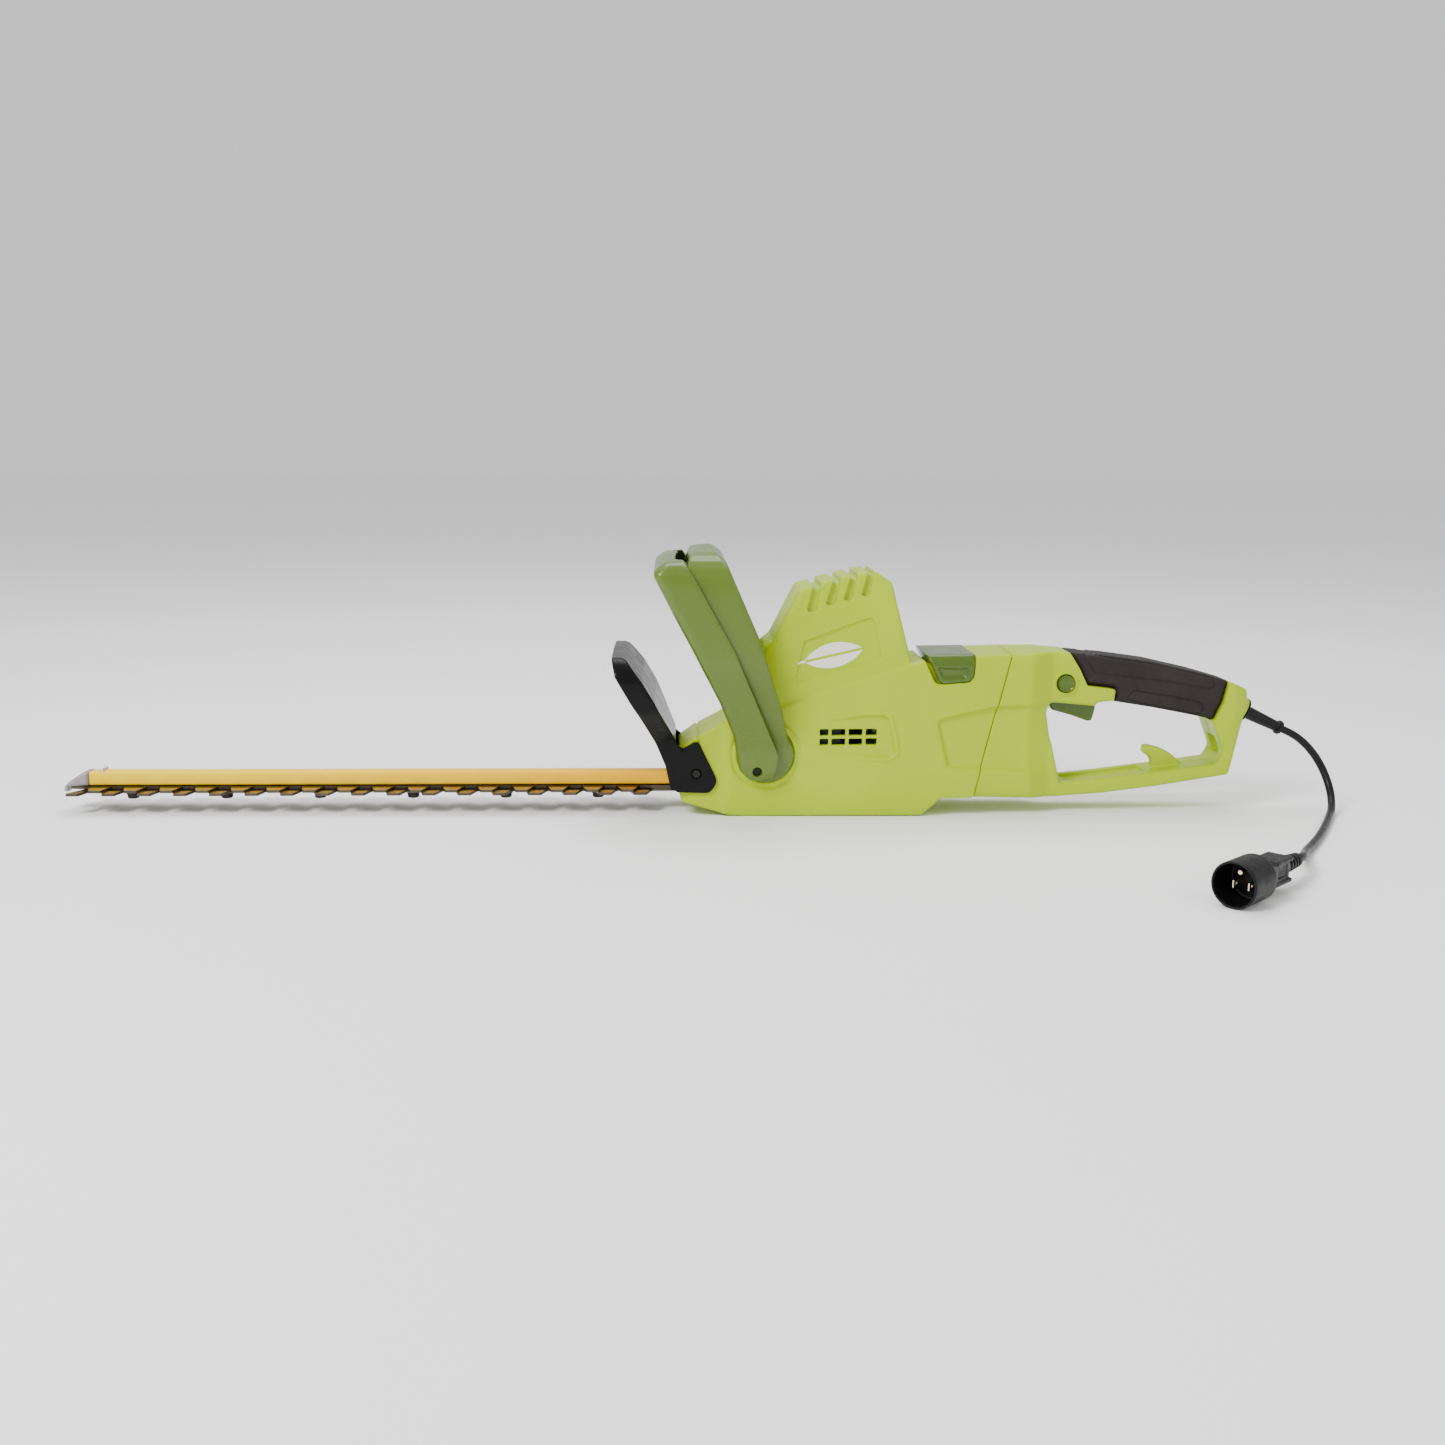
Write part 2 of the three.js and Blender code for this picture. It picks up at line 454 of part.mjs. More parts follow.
// ---------------------------------------------------------------- gear case
const POSTS = [[77, -POST_Y], [77, POST_Y], [214, -26], [214, 26]];
const PLATE_HALF = PAD_INNER - 1;
const plate = planPrism(
  [[70.4, -PLATE_HALF, 8], [226, -PLATE_HALF, 8], [226, PLATE_HALF, 8], [70.4, PLATE_HALF, 8]],
  PLATE_BOTTOM, PLATE_BOTTOM + PLATE_THICK)
  .add(joined(POSTS.map(([x, y]) => moved(rod(POST_R, COVER_THICK + GAP, PLATE_BOTTOM + 1, 12), x, y, 0))));
const CRANK_BEARING_R = CRANK_SHAFT_R + BEARING_WALL;
piece("gear_plate", "grey", without(plate, [
  moved(rod(CRANK_BEARING_R + GAP, PLATE_BOTTOM - 1, PLATE_BOTTOM + PLATE_THICK + 1, 20), CRANK_X, 0, 0),
  moved(rod(BEARING_R + GAP, PLATE_BOTTOM - 1, PLATE_BOTTOM + PLATE_THICK + 1, 20), MOTOR_X, 0, 0),
  ...POSTS.slice(1, 3).map(([x, y]) => moved(rod(SCREW_R + GAP, 0, 20, 10), x, y, 0)),
]));
const COVER_BOSS_TOP = COVER_THICK + 6.5;
const cover = planPrism(coverPlan(0), 0, COVER_THICK)
  .add(moved(rod(CRANK_BEARING_R, COVER_THICK - 1, COVER_BOSS_TOP, 20), CRANK_X, 0, 0));
piece("gear_cover", "green", without(cover, [
  moved(rod(CRANK_SHAFT_R + GAP, COVER_THICK, 40, 20), CRANK_X, 0, 0),
  ...POSTS.slice(1, 3).map(([x, y]) => moved(turned([
    [0, -1], [SCREW_HEAD_R + GAP, -1], [SCREW_HEAD_R + GAP, 3.2], [SCREW_R + GAP, 3.2], [SCREW_R + GAP, 9],
    [0, 9]], 12), x, y, 0)),
]));
POSTS.slice(1, 3).forEach(([x, y], i) => {
  const flipped = solidOf(geometryOf(screw(12, 2.2)).rotateX(Math.PI).translate(x, y, 3.2 - GAP + 12));
  piece(`cover_screw_${i + 1}`, "steel", flipped);
});

function gearOutline(teeth, phase) {
  const pitch = (2 * Math.PI) / teeth;
  const radius = (MODULE * teeth) / 2;
  const corners = [[-0.2, radius - 1.25 * MODULE], [-0.09, radius + 0.9 * MODULE],
    [0.09, radius + 0.9 * MODULE], [0.2, radius - 1.25 * MODULE]];
  return Array.from({ length: teeth }, (_, i) => corners.map(([share, r]) => {
    const angle = (i + share + phase) * pitch;
    return [r * Math.cos(angle), r * Math.sin(angle)];
  })).flat();
}
const crankAxle = (r, z0, z1) => moved(rod(r, z0, z1, 20), CRANK_X, 0, 0);
const gear = planPrism(gearOutline(GEAR_TEETH, 0.5), GEAR_BOTTOM, GEAR_BOTTOM + GEAR_THICK);
piece("drive_gear", "steel", moved(gear, CRANK_X, 0, 0).subtract(crankAxle(CRANK_SHAFT_R + GAP, 0, 80)));
const eccentric = (side, z) =>
  moved(rod(ECCENTRIC_R, z, z + BLADE_THICK, 22), CRANK_X + side * THROW, 0, 0);
piece("crank_shaft", "dark", joined([
  crankAxle(CRANK_SHAFT_R, COVER_THICK + GAP, PLATE_BOTTOM + PLATE_THICK + 2),
  crankAxle(CRANK_SHAFT_R + 1.5, LOWER_Z - 2, GEAR_BOTTOM - GAP),
  eccentric(-1, UPPER_Z), eccentric(1, LOWER_Z),
]));
const bearing = (bore, z0, z1) => tube(bore + 0.1, bore + BEARING_WALL, z0, z1, 20);
piece("crank_bearing", "steel",
  moved(bearing(CRANK_SHAFT_R, PLATE_BOTTOM, PLATE_BOTTOM + PLATE_THICK), CRANK_X, 0, 0));

// ---------------------------------------------------------------- motor
const onMotor = (solid) => moved(solid, MOTOR_X, 0, 0);
piece("stator", "dark", onMotor(tube(ARMATURE_R + 0.9, STATOR_R, STATOR_BOTTOM, STATOR_TOP, 24)));
piece("armature", "copper", onMotor(turned([
  [ROTOR_SHAFT_R + GAP, STATOR_BOTTOM + 4], [ARMATURE_R, STATOR_BOTTOM + 4], [ARMATURE_R, STATOR_TOP - 4],
  [13, STATOR_TOP - 2], [13, STATOR_TOP + 17], [ROTOR_SHAFT_R + GAP, STATOR_TOP + 17]], 22)));
const pinion = planPrism(gearOutline(PINION_TEETH, 0), GEAR_BOTTOM, GEAR_BOTTOM + GEAR_THICK);
piece("rotor_shaft", "steel", onMotor(rod(ROTOR_SHAFT_R, GEAR_BOTTOM, SHELF_TOP, 16).add(pinion)));
const blades = Array.from({ length: 8 }, (_, i) => {
  const vane = box(12, FAN_R, -1, 1, 50, 58);
  return solidOf(geometryOf(vane).rotateZ((i * Math.PI) / 4));
});
piece("fan", "black", onMotor(joined([tube(ROTOR_SHAFT_R + GAP, FAN_R, 57, 59.5, 20),
  tube(ROTOR_SHAFT_R + GAP, 14, 50, 58, 16), ...blades])));
piece("motor_bearing_lower", "steel",
  onMotor(bearing(ROTOR_SHAFT_R, PLATE_BOTTOM, PLATE_BOTTOM + PLATE_THICK)));
piece("motor_bearing_upper", "steel", onMotor(bearing(ROTOR_SHAFT_R, SHELF_TOP - 10, SHELF_TOP - 2)));
for (const [name, s] of [["brush_left", -1], ["brush_right", 1]]) {
  piece(name, "brass", box(MOTOR_X - 4, MOTOR_X + 4, ...spanY(s, 13.5, 31), STATOR_TOP + 6, STATOR_TOP + 16));
}
piece("front_switch", "black", planPrism([[88, -8, 1], [112, -8, 1], [112, 8, 1], [88, 8, 1]], 100, 118));

// ---------------------------------------------------------------- blades, bar and bolts
const FIRST_TOOTH_X = LAST_TOOTH_X - (TEETH - 1) * TOOTH_PITCH;
const BLADE_FRONT = FIRST_TOOTH_X + 5;
const boltX = (i) => LAST_BOLT_X - (BOLTS - 1 - i) * BOLT_PITCH;
const roundedBox = (x, y, halfX, halfY, r) => [
  [x - halfX, y - halfY, r], [x + halfX, y - halfY, r], [x + halfX, y + halfY, r], [x - halfX, y + halfY, r]];
function bladeOutline(first) {
  const flank = [[BLADE_FRONT, BLADE_HALF - 2]];
  for (let i = first; i < TEETH; i += 1) {
    const x = FIRST_TOOTH_X + i * TOOTH_PITCH;
    if (i > 0) flank.push([x - TOOTH_ROOT / 2, BLADE_HALF]);
    flank.push([x - TOOTH_TIP / 2, TOOTH_REACH], [x + TOOTH_TIP / 2, TOOTH_REACH]);
    flank.push([x + TOOTH_ROOT / 2, BLADE_HALF]);
  }
  const rear = [[CRANK_X - WINDOW.along - 12, BLADE_HALF], [CRANK_X - WINDOW.along - 8, YOKE_HALF, 4],
    [CRANK_X + WINDOW.along + 7, YOKE_HALF, 4]];
  const edge = [...flank, ...rear];
  return [...edge.map(([x, y, r]) => [x, -y, r]), ...edge.slice().reverse()];
}
const bladeHoles = () => [
  roundedBox(CRANK_X, 0, WINDOW.along, WINDOW.across, 6).reverse(),
  ...Array.from({ length: BOLTS }, (_, i) =>
    roundedBox(boltX(i), 0, SHOULDER_R + GAP + THROW, SHOULDER_R + GAP, SHOULDER_R).reverse()),
];
const blade = (z, first) => planPrism(bladeOutline(first), z, z + BLADE_THICK, bladeHoles());
piece("upper_blade", "blade", moved(blade(UPPER_Z, 1), -THROW, 0, 0));
piece("lower_blade", "blade", moved(blade(LOWER_Z, 0), THROW, 0, 0));

const BAR_FRONT = TIP_X + 25;
const TIP_SCREW_X = TIP_X + 37;
const TIP_SCREW_Y = 4.5;
const BAR_WALL = 2.6;
const boltBoss = (x) => box(x - 7, x + 7, -BAR_HALF + 1, BAR_HALF - 1, BAR_BOTTOM, BAR_TOP - 1);
const bar = box(BAR_FRONT, BAR_REAR, -BAR_HALF, BAR_HALF, BAR_BOTTOM, BAR_TOP)
  .subtract(box(BAR_FRONT - 1, BAR_REAR + 1, -BAR_HALF + BAR_WALL, BAR_HALF - BAR_WALL, 0, BAR_TOP - BAR_WALL));
const boltPlaces = Array.from({ length: BOLTS }, (_, i) => boltX(i));
const boltHole = (x) => moved(rod(2.5 + GAP, 0, 34, 12), x, 0, 0);
const tipScrewHoles = (r) => both((s) => moved(rod(r, 0, 60, 10), TIP_SCREW_X, s * TIP_SCREW_Y, 0));
piece("blade_bar", "yellow", without(joined([bar, ...boltPlaces.map(boltBoss)]),
  [...boltPlaces.map(boltHole), tipScrewHoles(1.5 + GAP)]));
boltPlaces.forEach((x, i) => piece(`blade_bolt_${i + 1}`, "dark", moved(turned([
  [0, 11], [5.5, 11], [5.5, 14.6], [7.5, 14.6], [7.5, LOWER_Z - GAP], [SHOULDER_R, LOWER_Z - GAP],
  [SHOULDER_R, BAR_BOTTOM - GAP], [2.5, BAR_BOTTOM - GAP], [2.5, 33.5], [0, 33.5]], 12), x, 0, 0)));

const TIP_SIDE = [
  [TIP_X, LOWER_Z + 2.5, 1.5], [TIP_X + 2, LOWER_Z - 0.4, 1], [TIP_X + 5.5, LOWER_Z - 0.4],
  [TIP_X + 5.5, BAR_BOTTOM], [BAR_FRONT - GAP, BAR_BOTTOM], [BAR_FRONT - GAP, BAR_TOP, 1],
  [TIP_X + 5, BAR_BOTTOM + 2.5, 4],
];
const TIP_HALF = 13;
const tipPlan = [[TIP_X, -8, 5], [TIP_X + 10, -TIP_HALF, 8], [TIP_X + 30, -TIP_HALF], [TIP_X + 30, TIP_HALF],
  [TIP_X + 10, TIP_HALF, 8], [TIP_X, 8, 5]];
const tipTongue = box(BAR_FRONT - 4, TIP_SCREW_X + 6, -BAR_HALF + BAR_WALL + GAP, BAR_HALF - BAR_WALL - GAP,
  BAR_BOTTOM + 1, BAR_TOP - BAR_WALL - GAP);
piece("tip_guard", "grey", sidePrism(TIP_SIDE, -TIP_HALF, TIP_HALF)
  .intersect(planPrism(tipPlan, 0, 60)).add(tipTongue)
  .subtract(tipScrewHoles(1.5 + GAP)));
[-1, 1].forEach((s, i) => piece(`tip_screw_${i + 1}`, "steel", moved(turned([
  [0, BAR_BOTTOM + 3], [1.5, BAR_BOTTOM + 3], [1.5, BAR_TOP + GAP], [2.1, BAR_TOP + GAP], [2.1, BAR_TOP + 2.6],
  [0, BAR_TOP + 2.6]], 10), TIP_SCREW_X, s * TIP_SCREW_Y, 0)));

// ---------------------------------------------------------------- guard, handle, lever, latch pieces
piece("hand_guard", "black", handGuard);
for (const [name, s] of [["guard_screw_left", -1], ["guard_screw_right", 1]]) {
  const made = acrossY(moved(screw(14, 2.2), 0, 0, EAR_HALF + GAP - 14), ...GUARD_SCREW);
  piece(name, "dark", s > 0 ? made : turnedRound(made, GUARD_SCREW[0]));
}
piece("front_handle", "olive", frontHandle);
for (const [name, s] of [["handle_screw_left", -1], ["handle_screw_right", 1]]) {
  const made = acrossY(moved(screw(12, 2.2), 0, 0, HANDLE_FOOT + 3 + GAP - 12), ...HANDLE_SCREW);
  piece(name, "dark", s > 0 ? made : turnedRound(made, HANDLE_SCREW[0]));
}
piece("switch_lever", "olive", lever);
piece("swivel_ring", "grey", ring);
piece("latch", "olive", latch);

class Helix extends THREE.Curve {
  constructor(radius, length, turns) {
    super();
    Object.assign(this, { radius, length, turns });
  }
  getPoint(t) {
    const angle = t * this.turns * 2 * Math.PI;
    return new THREE.Vector3(this.radius * Math.cos(angle), this.radius * Math.sin(angle), t * this.length);
  }
}
const ringShape = (r, sides) => shapeOf(Array.from({ length: sides }, (_, i) =>
  [r * Math.cos((i * 2 * Math.PI) / sides), r * Math.sin((i * 2 * Math.PI) / sides)]));
const coil = (radius, length, turns) => solidOf(new THREE.ExtrudeGeometry(ringShape(0.5, 4), {
  extrudePath: new Helix(radius, length, turns), steps: turns * 7, bevelEnabled: false, curveSegments: 1 }));
piece("latch_spring", "steel", solidOf(geometryOf(coil(3, 8, 5)).rotateY(-Math.PI / 2).translate(266, 0, 131)));

// ---------------------------------------------------------------- rear handle: two shells
const REAR_SIDE = [
  [splitX(17.5), 17.5], [373, 15.5], [417, 18.5], [472, 25.5], [538, 36, 3], [550, 82, 3], [557, 108, 3],
  [554.5, 116.5, 5], [534, 125], [503, 133.5], [461, 143], [419, 148.7], [384, 151.7], [361, 153.5],
  [splitX(153), 153],
];
const D_OPENING = [
  [378, 27.5, 4], [527, 45.5, 5], [533, 57], [521, 87, 7], [494, 93.7], [463, 99.4], [427, 104.5], [414, 101],
  [369, 105.5, 3], [362.5, 97], [367, 73],
];
const REAR_PLAN = [
  [290, -REAR_HALF], [350, -REAR_HALF, 12], [370, -HANDLE_HALF, 12], [541, -HANDLE_HALF, 12], [566, -13],
  [566, 13], [541, HANDLE_HALF, 12], [370, HANDLE_HALF, 12], [350, REAR_HALF, 12], [290, REAR_HALF],
];
const GRIP_TOP = [[534.5, 125.4], [503, 134.2], [461, 143.7], [419, 149.4], [383, 152.4]];
const GRIP_SIDE = [
  [426, 104.2], [463, 98.8], [494, 93.1], [523, 86.6, 3], [531, 100], ...GRIP_TOP, [392.5, 137], [401, 120.5, 2],
  [427, 118, 2],
];
const CORE_SIDE = [
  [370, 112], [427, 109.5], [463, 104], [494, 98.4], [545, 91], [545, 117], [503, 128.6], [461, 138],
  [419, 143.7], [370, 147],
];
const CORE_HALF = GRIP_HALF - GRIP_THICK;
const CHANNEL_SIDE = inset(CORE_SIDE, WALL + 1);
const GLAND = [556.5, 94];
const GLAND_TILT = THREE.MathUtils.degToRad(25);
const onGland = (solid) => alongTilt(solid, ...GLAND, GLAND_TILT);
const COLLAR_R = 12.5;
const HOOK = [
  [494, 38], [494, 49.5, 4], [478, 58.5, 6], [466, 61.5, 4], [456, 61, 3], [452.5, 56.5, 2.5], [457, 52.8, 2],
  [465, 52.5, 4], [470, 46, 3], [470, 34],
];
const rearSkin = frontPrism([
  [-REAR_HALF + 9, -5], [REAR_HALF - 9, -5], [REAR_HALF, 24, 12], [REAR_HALF, 147, 9], [REAR_HALF - 9, 156, 6],
  [-REAR_HALF + 9, 156, 6], [-REAR_HALF, 147, 9], [-REAR_HALF, 24, 12]], 280, 600);
const LOCK = [379, 123.5];
const LOCK_R = 7.8;
const lockCollar = acrossY(rod(12, -HANDLE_HALF - 1.5, -HANDLE_HALF + 3, 20), ...LOCK);
const rearOuter = sidePrism(REAR_SIDE, -REAR_HALF, REAR_HALF, [D_OPENING.slice().reverse()])
  .intersect(planPrism(REAR_PLAN, -10, 200)).intersect(rearSkin)
  .add(sidePrism(HOOK.slice().reverse(), -5.5, 5.5))
  .add(onGland(rod(COLLAR_R, -14, 0, 20)))
  .add(lockCollar);
const REAR_SCREWS = [[349, 30], [533.5, 41]];
const TRIGGER_HALF = 7.5;
const TRIGGER_SIDE = [
  [368, 96, 2], [390, 90], [407, 84.4, 2], [410.5, 86, 2], [413, 99], [411, 113, 2], [374, 114.5, 5],
  [368.5, 109, 4],
];
const triggerSolid = (grow) =>
  sidePrism(inset(TRIGGER_SIDE, -grow), -TRIGGER_HALF - grow, TRIGGER_HALF + grow);
const AXLE_HALF = 11;
const triggerAxle = (grow) =>
  acrossY(rod(2.5 + grow, -AXLE_HALF - grow, AXLE_HALF + grow, 12), ...TRIGGER_PIVOT);
const triggerSweep = joined([0, 1, 2, 3, 4].map((i) =>
  swung(triggerSolid(RUNNING_GAP), TRIGGER_PIVOT, (i * (TRIGGER_TRAVEL + 0.5)) / 4)));
const frontRoom = sidePrism([[336, 26], [358, 26], [359, 96], [359, 144], [338, 146], [331, 60]],
  -REAR_HALF + WALL + 2, REAR_HALF - WALL - 2)
  .intersect(planPrism(inset(REAR_PLAN, WALL), 0, 160));
const channel = sidePrism(CHANNEL_SIDE.map(([x, z], i) => (x < 400 ? [352, z] : [x, z])), -13, 13)
  .intersect(box(340, 541, -20, 20, 0, 200));
const latchGroove = onSwivel(
  tube(GROOVE_R - TONGUE_THICK / 2 - 1.6, GROOVE_R + TONGUE_THICK / 2 + 3.4, -8, 5, 24));
const rearSolid = without(
  without(rearOuter, [sidePrism(inset(GRIP_SIDE, -GAP), -REAR_HALF, REAR_HALF)])
    .add(sidePrism(CORE_SIDE, -CORE_HALF, CORE_HALF).intersect(planPrism(inset(REAR_PLAN, 1), 0, 200))), [
    frontRoom, channel, wireWay, ringSeat(0.5), latchGroove, triggerSweep, triggerAxle(GAP),
    onGland(rod(6.5, -40, 10, 16)),
    acrossY(rod(LOCK_R + RUNNING_GAP, -40, -12, 20), ...LOCK),
    box(500, 570, -10, 10, 54, 71),
    sidePrism(swivelPlane(-300, GAP), -80, 80),
  ]);
const rearShell = rearSolid
  .add(screwBosses(REAR_SCREWS.slice(0, 1), REAR_HALF - 6).intersect(rearOuter))
  .subtract(acrossY(screwHoleProfile(REAR_HALF), ...REAR_SCREWS[0]))
  .subtract(acrossY(screwHoleProfile(HANDLE_HALF), ...REAR_SCREWS[1]));
function screwHoleProfile(half) {
  return turned([[0, -14], [SCREW_R + GAP, -14], [SCREW_R + GAP, half - 8], [SCREW_HEAD_R + GAP, half - 8],
    [SCREW_HEAD_R + GAP, half + 9], [0, half + 9]], 12);
}
piece("rear_handle_left", "green", rearShell.intersect(halfSpace(-1)));
piece("rear_handle_right", "green", rearShell.intersect(halfSpace(1)));
[REAR_HALF, HANDLE_HALF].forEach((half, i) => piece(`handle_joint_screw_${i + 1}`, "steel",
  acrossY(moved(screw(half - 8 + 12 - GAP), 0, 0, -12 + 2 * GAP), ...REAR_SCREWS[i])));

const gripSkin = frontPrism([
  [-GRIP_HALF + 8, 70], [GRIP_HALF - 8, 70], [GRIP_HALF, 84], [GRIP_HALF, 200], [-GRIP_HALF, 200],
  [-GRIP_HALF, 84]], 350, 600);
piece("grip", "soft", sidePrism(GRIP_SIDE, -GRIP_HALF, GRIP_HALF).intersect(gripSkin)
  .subtract(sidePrism(inset(CORE_SIDE, -GAP), -CORE_HALF - GAP, CORE_HALF + GAP)));

piece("trigger", "olive", triggerSolid(0).add(triggerAxle(0)));
piece("trigger_spring", "steel", solidOf(geometryOf(coil(2.6, 4.5, 3)).translate(400, 0, 114.5)));
piece("rear_switch", "black", planPrism([[386, -8, 1], [420, -8, 1], [420, 8, 1], [386, 8, 1]], 126, 138));
piece("lock_button", "olive", acrossY(turned([
  [0, -HANDLE_HALF - 4.5], [LOCK_R, -HANDLE_HALF - 4.5], [LOCK_R, -14.5], [3.5, -14.5], [3.5, -9], [0, -9]], 20),
...LOCK));

// ---------------------------------------------------------------- cord
piece("cord_gland", "black", onGland(tube(7.6, COLLAR_R - 0.6, GAP, 2.3, 20)));
piece("strain_relief", "black", onGland(turned([
  [CORD_R + GAP, -12], [6, -12], [6, GAP], [7, GAP], [6.4, 12],
  [4.9, RELIEF_LENGTH + 1], [6.8, RELIEF_LENGTH + 2.5], [6.8, RELIEF_LENGTH + 5],
  [CORD_R + GAP, RELIEF_LENGTH + 6]], 16)));
// The cord's route, by hand: out of the strain relief, down to the floor, then towards the plug.
const CORD_ROUTE = [
  [597, 0, 75.1], [607.2, 0, 70.2], [616.5, -1, 63.5], [625, -3.5, 54.5], [632, -7.5, 43.5],
  [636.5, -13.5, 31.5], [638, -21, 20.5], [636, -31, 11.5], [631, -43, 6.2], [623.5, -57, 4.2], [614.5, -74, 3.7], [597.6, -105, 3.7],
  [582, -132, 3.7], [567, -156, 3.9], [553, -178, 4.8], [541, -200, 7.2], [532.5, -218, 10.8], [525, -236, 15],
  [517, -250.5, 17.8], [509.5, -259.2, PLUG_R],
].map(([x, y, z]) => new THREE.Vector3(x, y, z));
const PLUG_AIM = THREE.MathUtils.degToRad(47); // heading of the plug's tail, from +Y towards +X
const TAIL = CORD_ROUTE[CORD_ROUTE.length - 1];
const PLUG_LENGTH = 106;
const SHROUD_LENGTH = 42;
const cordCurve = new THREE.CatmullRomCurve3(CORD_ROUTE, false, "centripetal");
const cordSolid = solidOf(new THREE.ExtrudeGeometry(ringShape(CORD_R, 8), {
  extrudePath: cordCurve, steps: 40, bevelEnabled: false, curveSegments: 1 }));
piece("cord", "black", cordSolid);

// The plug lies with its tail at the cord's end and its mouth to the front left.
const onPlug = (solid) => solidOf(geometryOf(solid).rotateX(-Math.PI / 2).rotateZ(-PLUG_AIM)
  .translate(TAIL.x + GAP * Math.sin(PLUG_AIM), TAIL.y, TAIL.z));
const back = -GAP - 0.5;
const shroudBack = back - PLUG_LENGTH + SHROUD_LENGTH;
piece("plug_body", "black", onPlug(turned([
  [0, back], [0, shroudBack - 6], [PLUG_R - PLUG_WALL, shroudBack - 6], [PLUG_R - PLUG_WALL, back - PLUG_LENGTH],
  [PLUG_R, back - PLUG_LENGTH], [PLUG_R, shroudBack], [13, shroudBack + 2], [11, shroudBack + 26],
  [6.5, shroudBack + 30], [5.2, back]], 20)));
const pinBack = shroudBack - 6 - GAP;
[[-6.3, 3], [6.3, 3]].forEach(([x, y], i) => piece(`plug_blade_${i + 1}`, "brass",
  onPlug(box(x - 0.8, x + 0.8, y - 3.2, y + 3.2, pinBack - 17, pinBack))));
piece("plug_ground_pin", "brass", onPlug(moved(rod(2.4, pinBack - 20, pinBack, 10), 0, -8.5, 0)));

export default trimmer;
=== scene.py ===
"""Looks of the corded hedge trimmer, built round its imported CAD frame."""

import copy
import math

import bmesh
import bpy
import numpy as np
import openvdb
from mathutils import Matrix, Vector


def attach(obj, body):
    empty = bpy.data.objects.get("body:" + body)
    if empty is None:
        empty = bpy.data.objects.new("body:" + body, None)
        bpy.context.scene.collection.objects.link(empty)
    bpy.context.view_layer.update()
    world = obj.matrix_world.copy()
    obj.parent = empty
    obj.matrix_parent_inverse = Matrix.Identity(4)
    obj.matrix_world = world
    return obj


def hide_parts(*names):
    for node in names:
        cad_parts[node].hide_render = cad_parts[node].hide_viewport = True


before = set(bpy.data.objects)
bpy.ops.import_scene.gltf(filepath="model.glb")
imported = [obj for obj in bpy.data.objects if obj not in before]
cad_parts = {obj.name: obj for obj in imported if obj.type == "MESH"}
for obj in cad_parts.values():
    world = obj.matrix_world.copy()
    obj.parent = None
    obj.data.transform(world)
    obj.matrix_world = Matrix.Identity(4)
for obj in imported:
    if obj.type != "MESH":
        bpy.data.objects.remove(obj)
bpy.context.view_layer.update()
MM = 0.001
SHIFT_X = 3.85  # from the drawing's X, measured along the tool, to the row frame's
SCENE = bpy.context.scene


def row(x, y, z):
    """A point of the drawing, in millimetres, in the row frame's metres."""
    return Vector(((x - SHIFT_X) * MM, y * MM, z * MM))


# ---------------------------------------------------------------- camera, then the cord
def make_camera():
    pitch, yaw, roll = math.radians(10.35), math.radians(2.0), math.radians(0.3)
    forward = Vector((math.sin(yaw) * math.cos(pitch), math.cos(yaw) * math.cos(pitch), -math.sin(pitch)))
    level = Vector((math.cos(yaw), -math.sin(yaw), 0))
    upright = level.cross(forward)
    right = level * math.cos(roll) + upright * math.sin(roll)
    up = upright * math.cos(roll) - level * math.sin(roll)
    matrix = Matrix((right, up, -forward)).transposed().to_4x4()
    matrix.translation = row(10.5, -1424.9, 342.7)
    data = bpy.data.cameras.new("camera")
    data.angle = 2 * math.atan(722.5 / 1534)
    data.clip_end = 50
    camera = bpy.data.objects.new("camera", data)
    camera.matrix_world = matrix
    SCENE.collection.objects.link(camera)
    SCENE.camera = camera


make_camera()

GLAND = (556.5, 94.0)
GLAND_TILT = math.radians(25)
CORD_R = 3.6
PLUG_AIM = math.radians(47)
PLUG_R = 18.5
CORD_ROUTE = [
    (595.75, 0, 75.7), (607.2, 0, 70.2), (616.5, -1, 63.5), (625, -3.5, 54.5), (632, -7.5, 43.5),
    (636.5, -13.5, 31.5), (638, -21, 20.5), (636, -31, 11.5), (631, -43, 6.2), (623.5, -57, 4.2),
    (614.5, -74, 3.7), (597.6, -105, 3.7), (582, -132, 3.7), (567, -156, 3.9), (553, -178, 4.8),
    (541, -200, 7.2), (532.5, -218, 10.8), (525, -236, 15), (517, -250.5, 17.8), (509.5, -259.2, PLUG_R),
]


def make_cord():
    curve = bpy.data.curves.new("cord_lead", "CURVE")
    curve.dimensions = "3D"
    curve.bevel_depth = CORD_R * MM
    curve.bevel_resolution = 5
    curve.resolution_u = 8
    curve.use_fill_caps = True
    spline = curve.splines.new("BEZIER")
    spline.bezier_points.add(len(CORD_ROUTE) - 1)
    for point, place in zip(spline.bezier_points, CORD_ROUTE):
        point.co = row(*place)
        point.handle_left_type = point.handle_right_type = "AUTO"
    lead = bpy.data.objects.new("cord_lead", curve)
    SCENE.collection.objects.link(lead)
    return lead


cord_lead = make_cord()


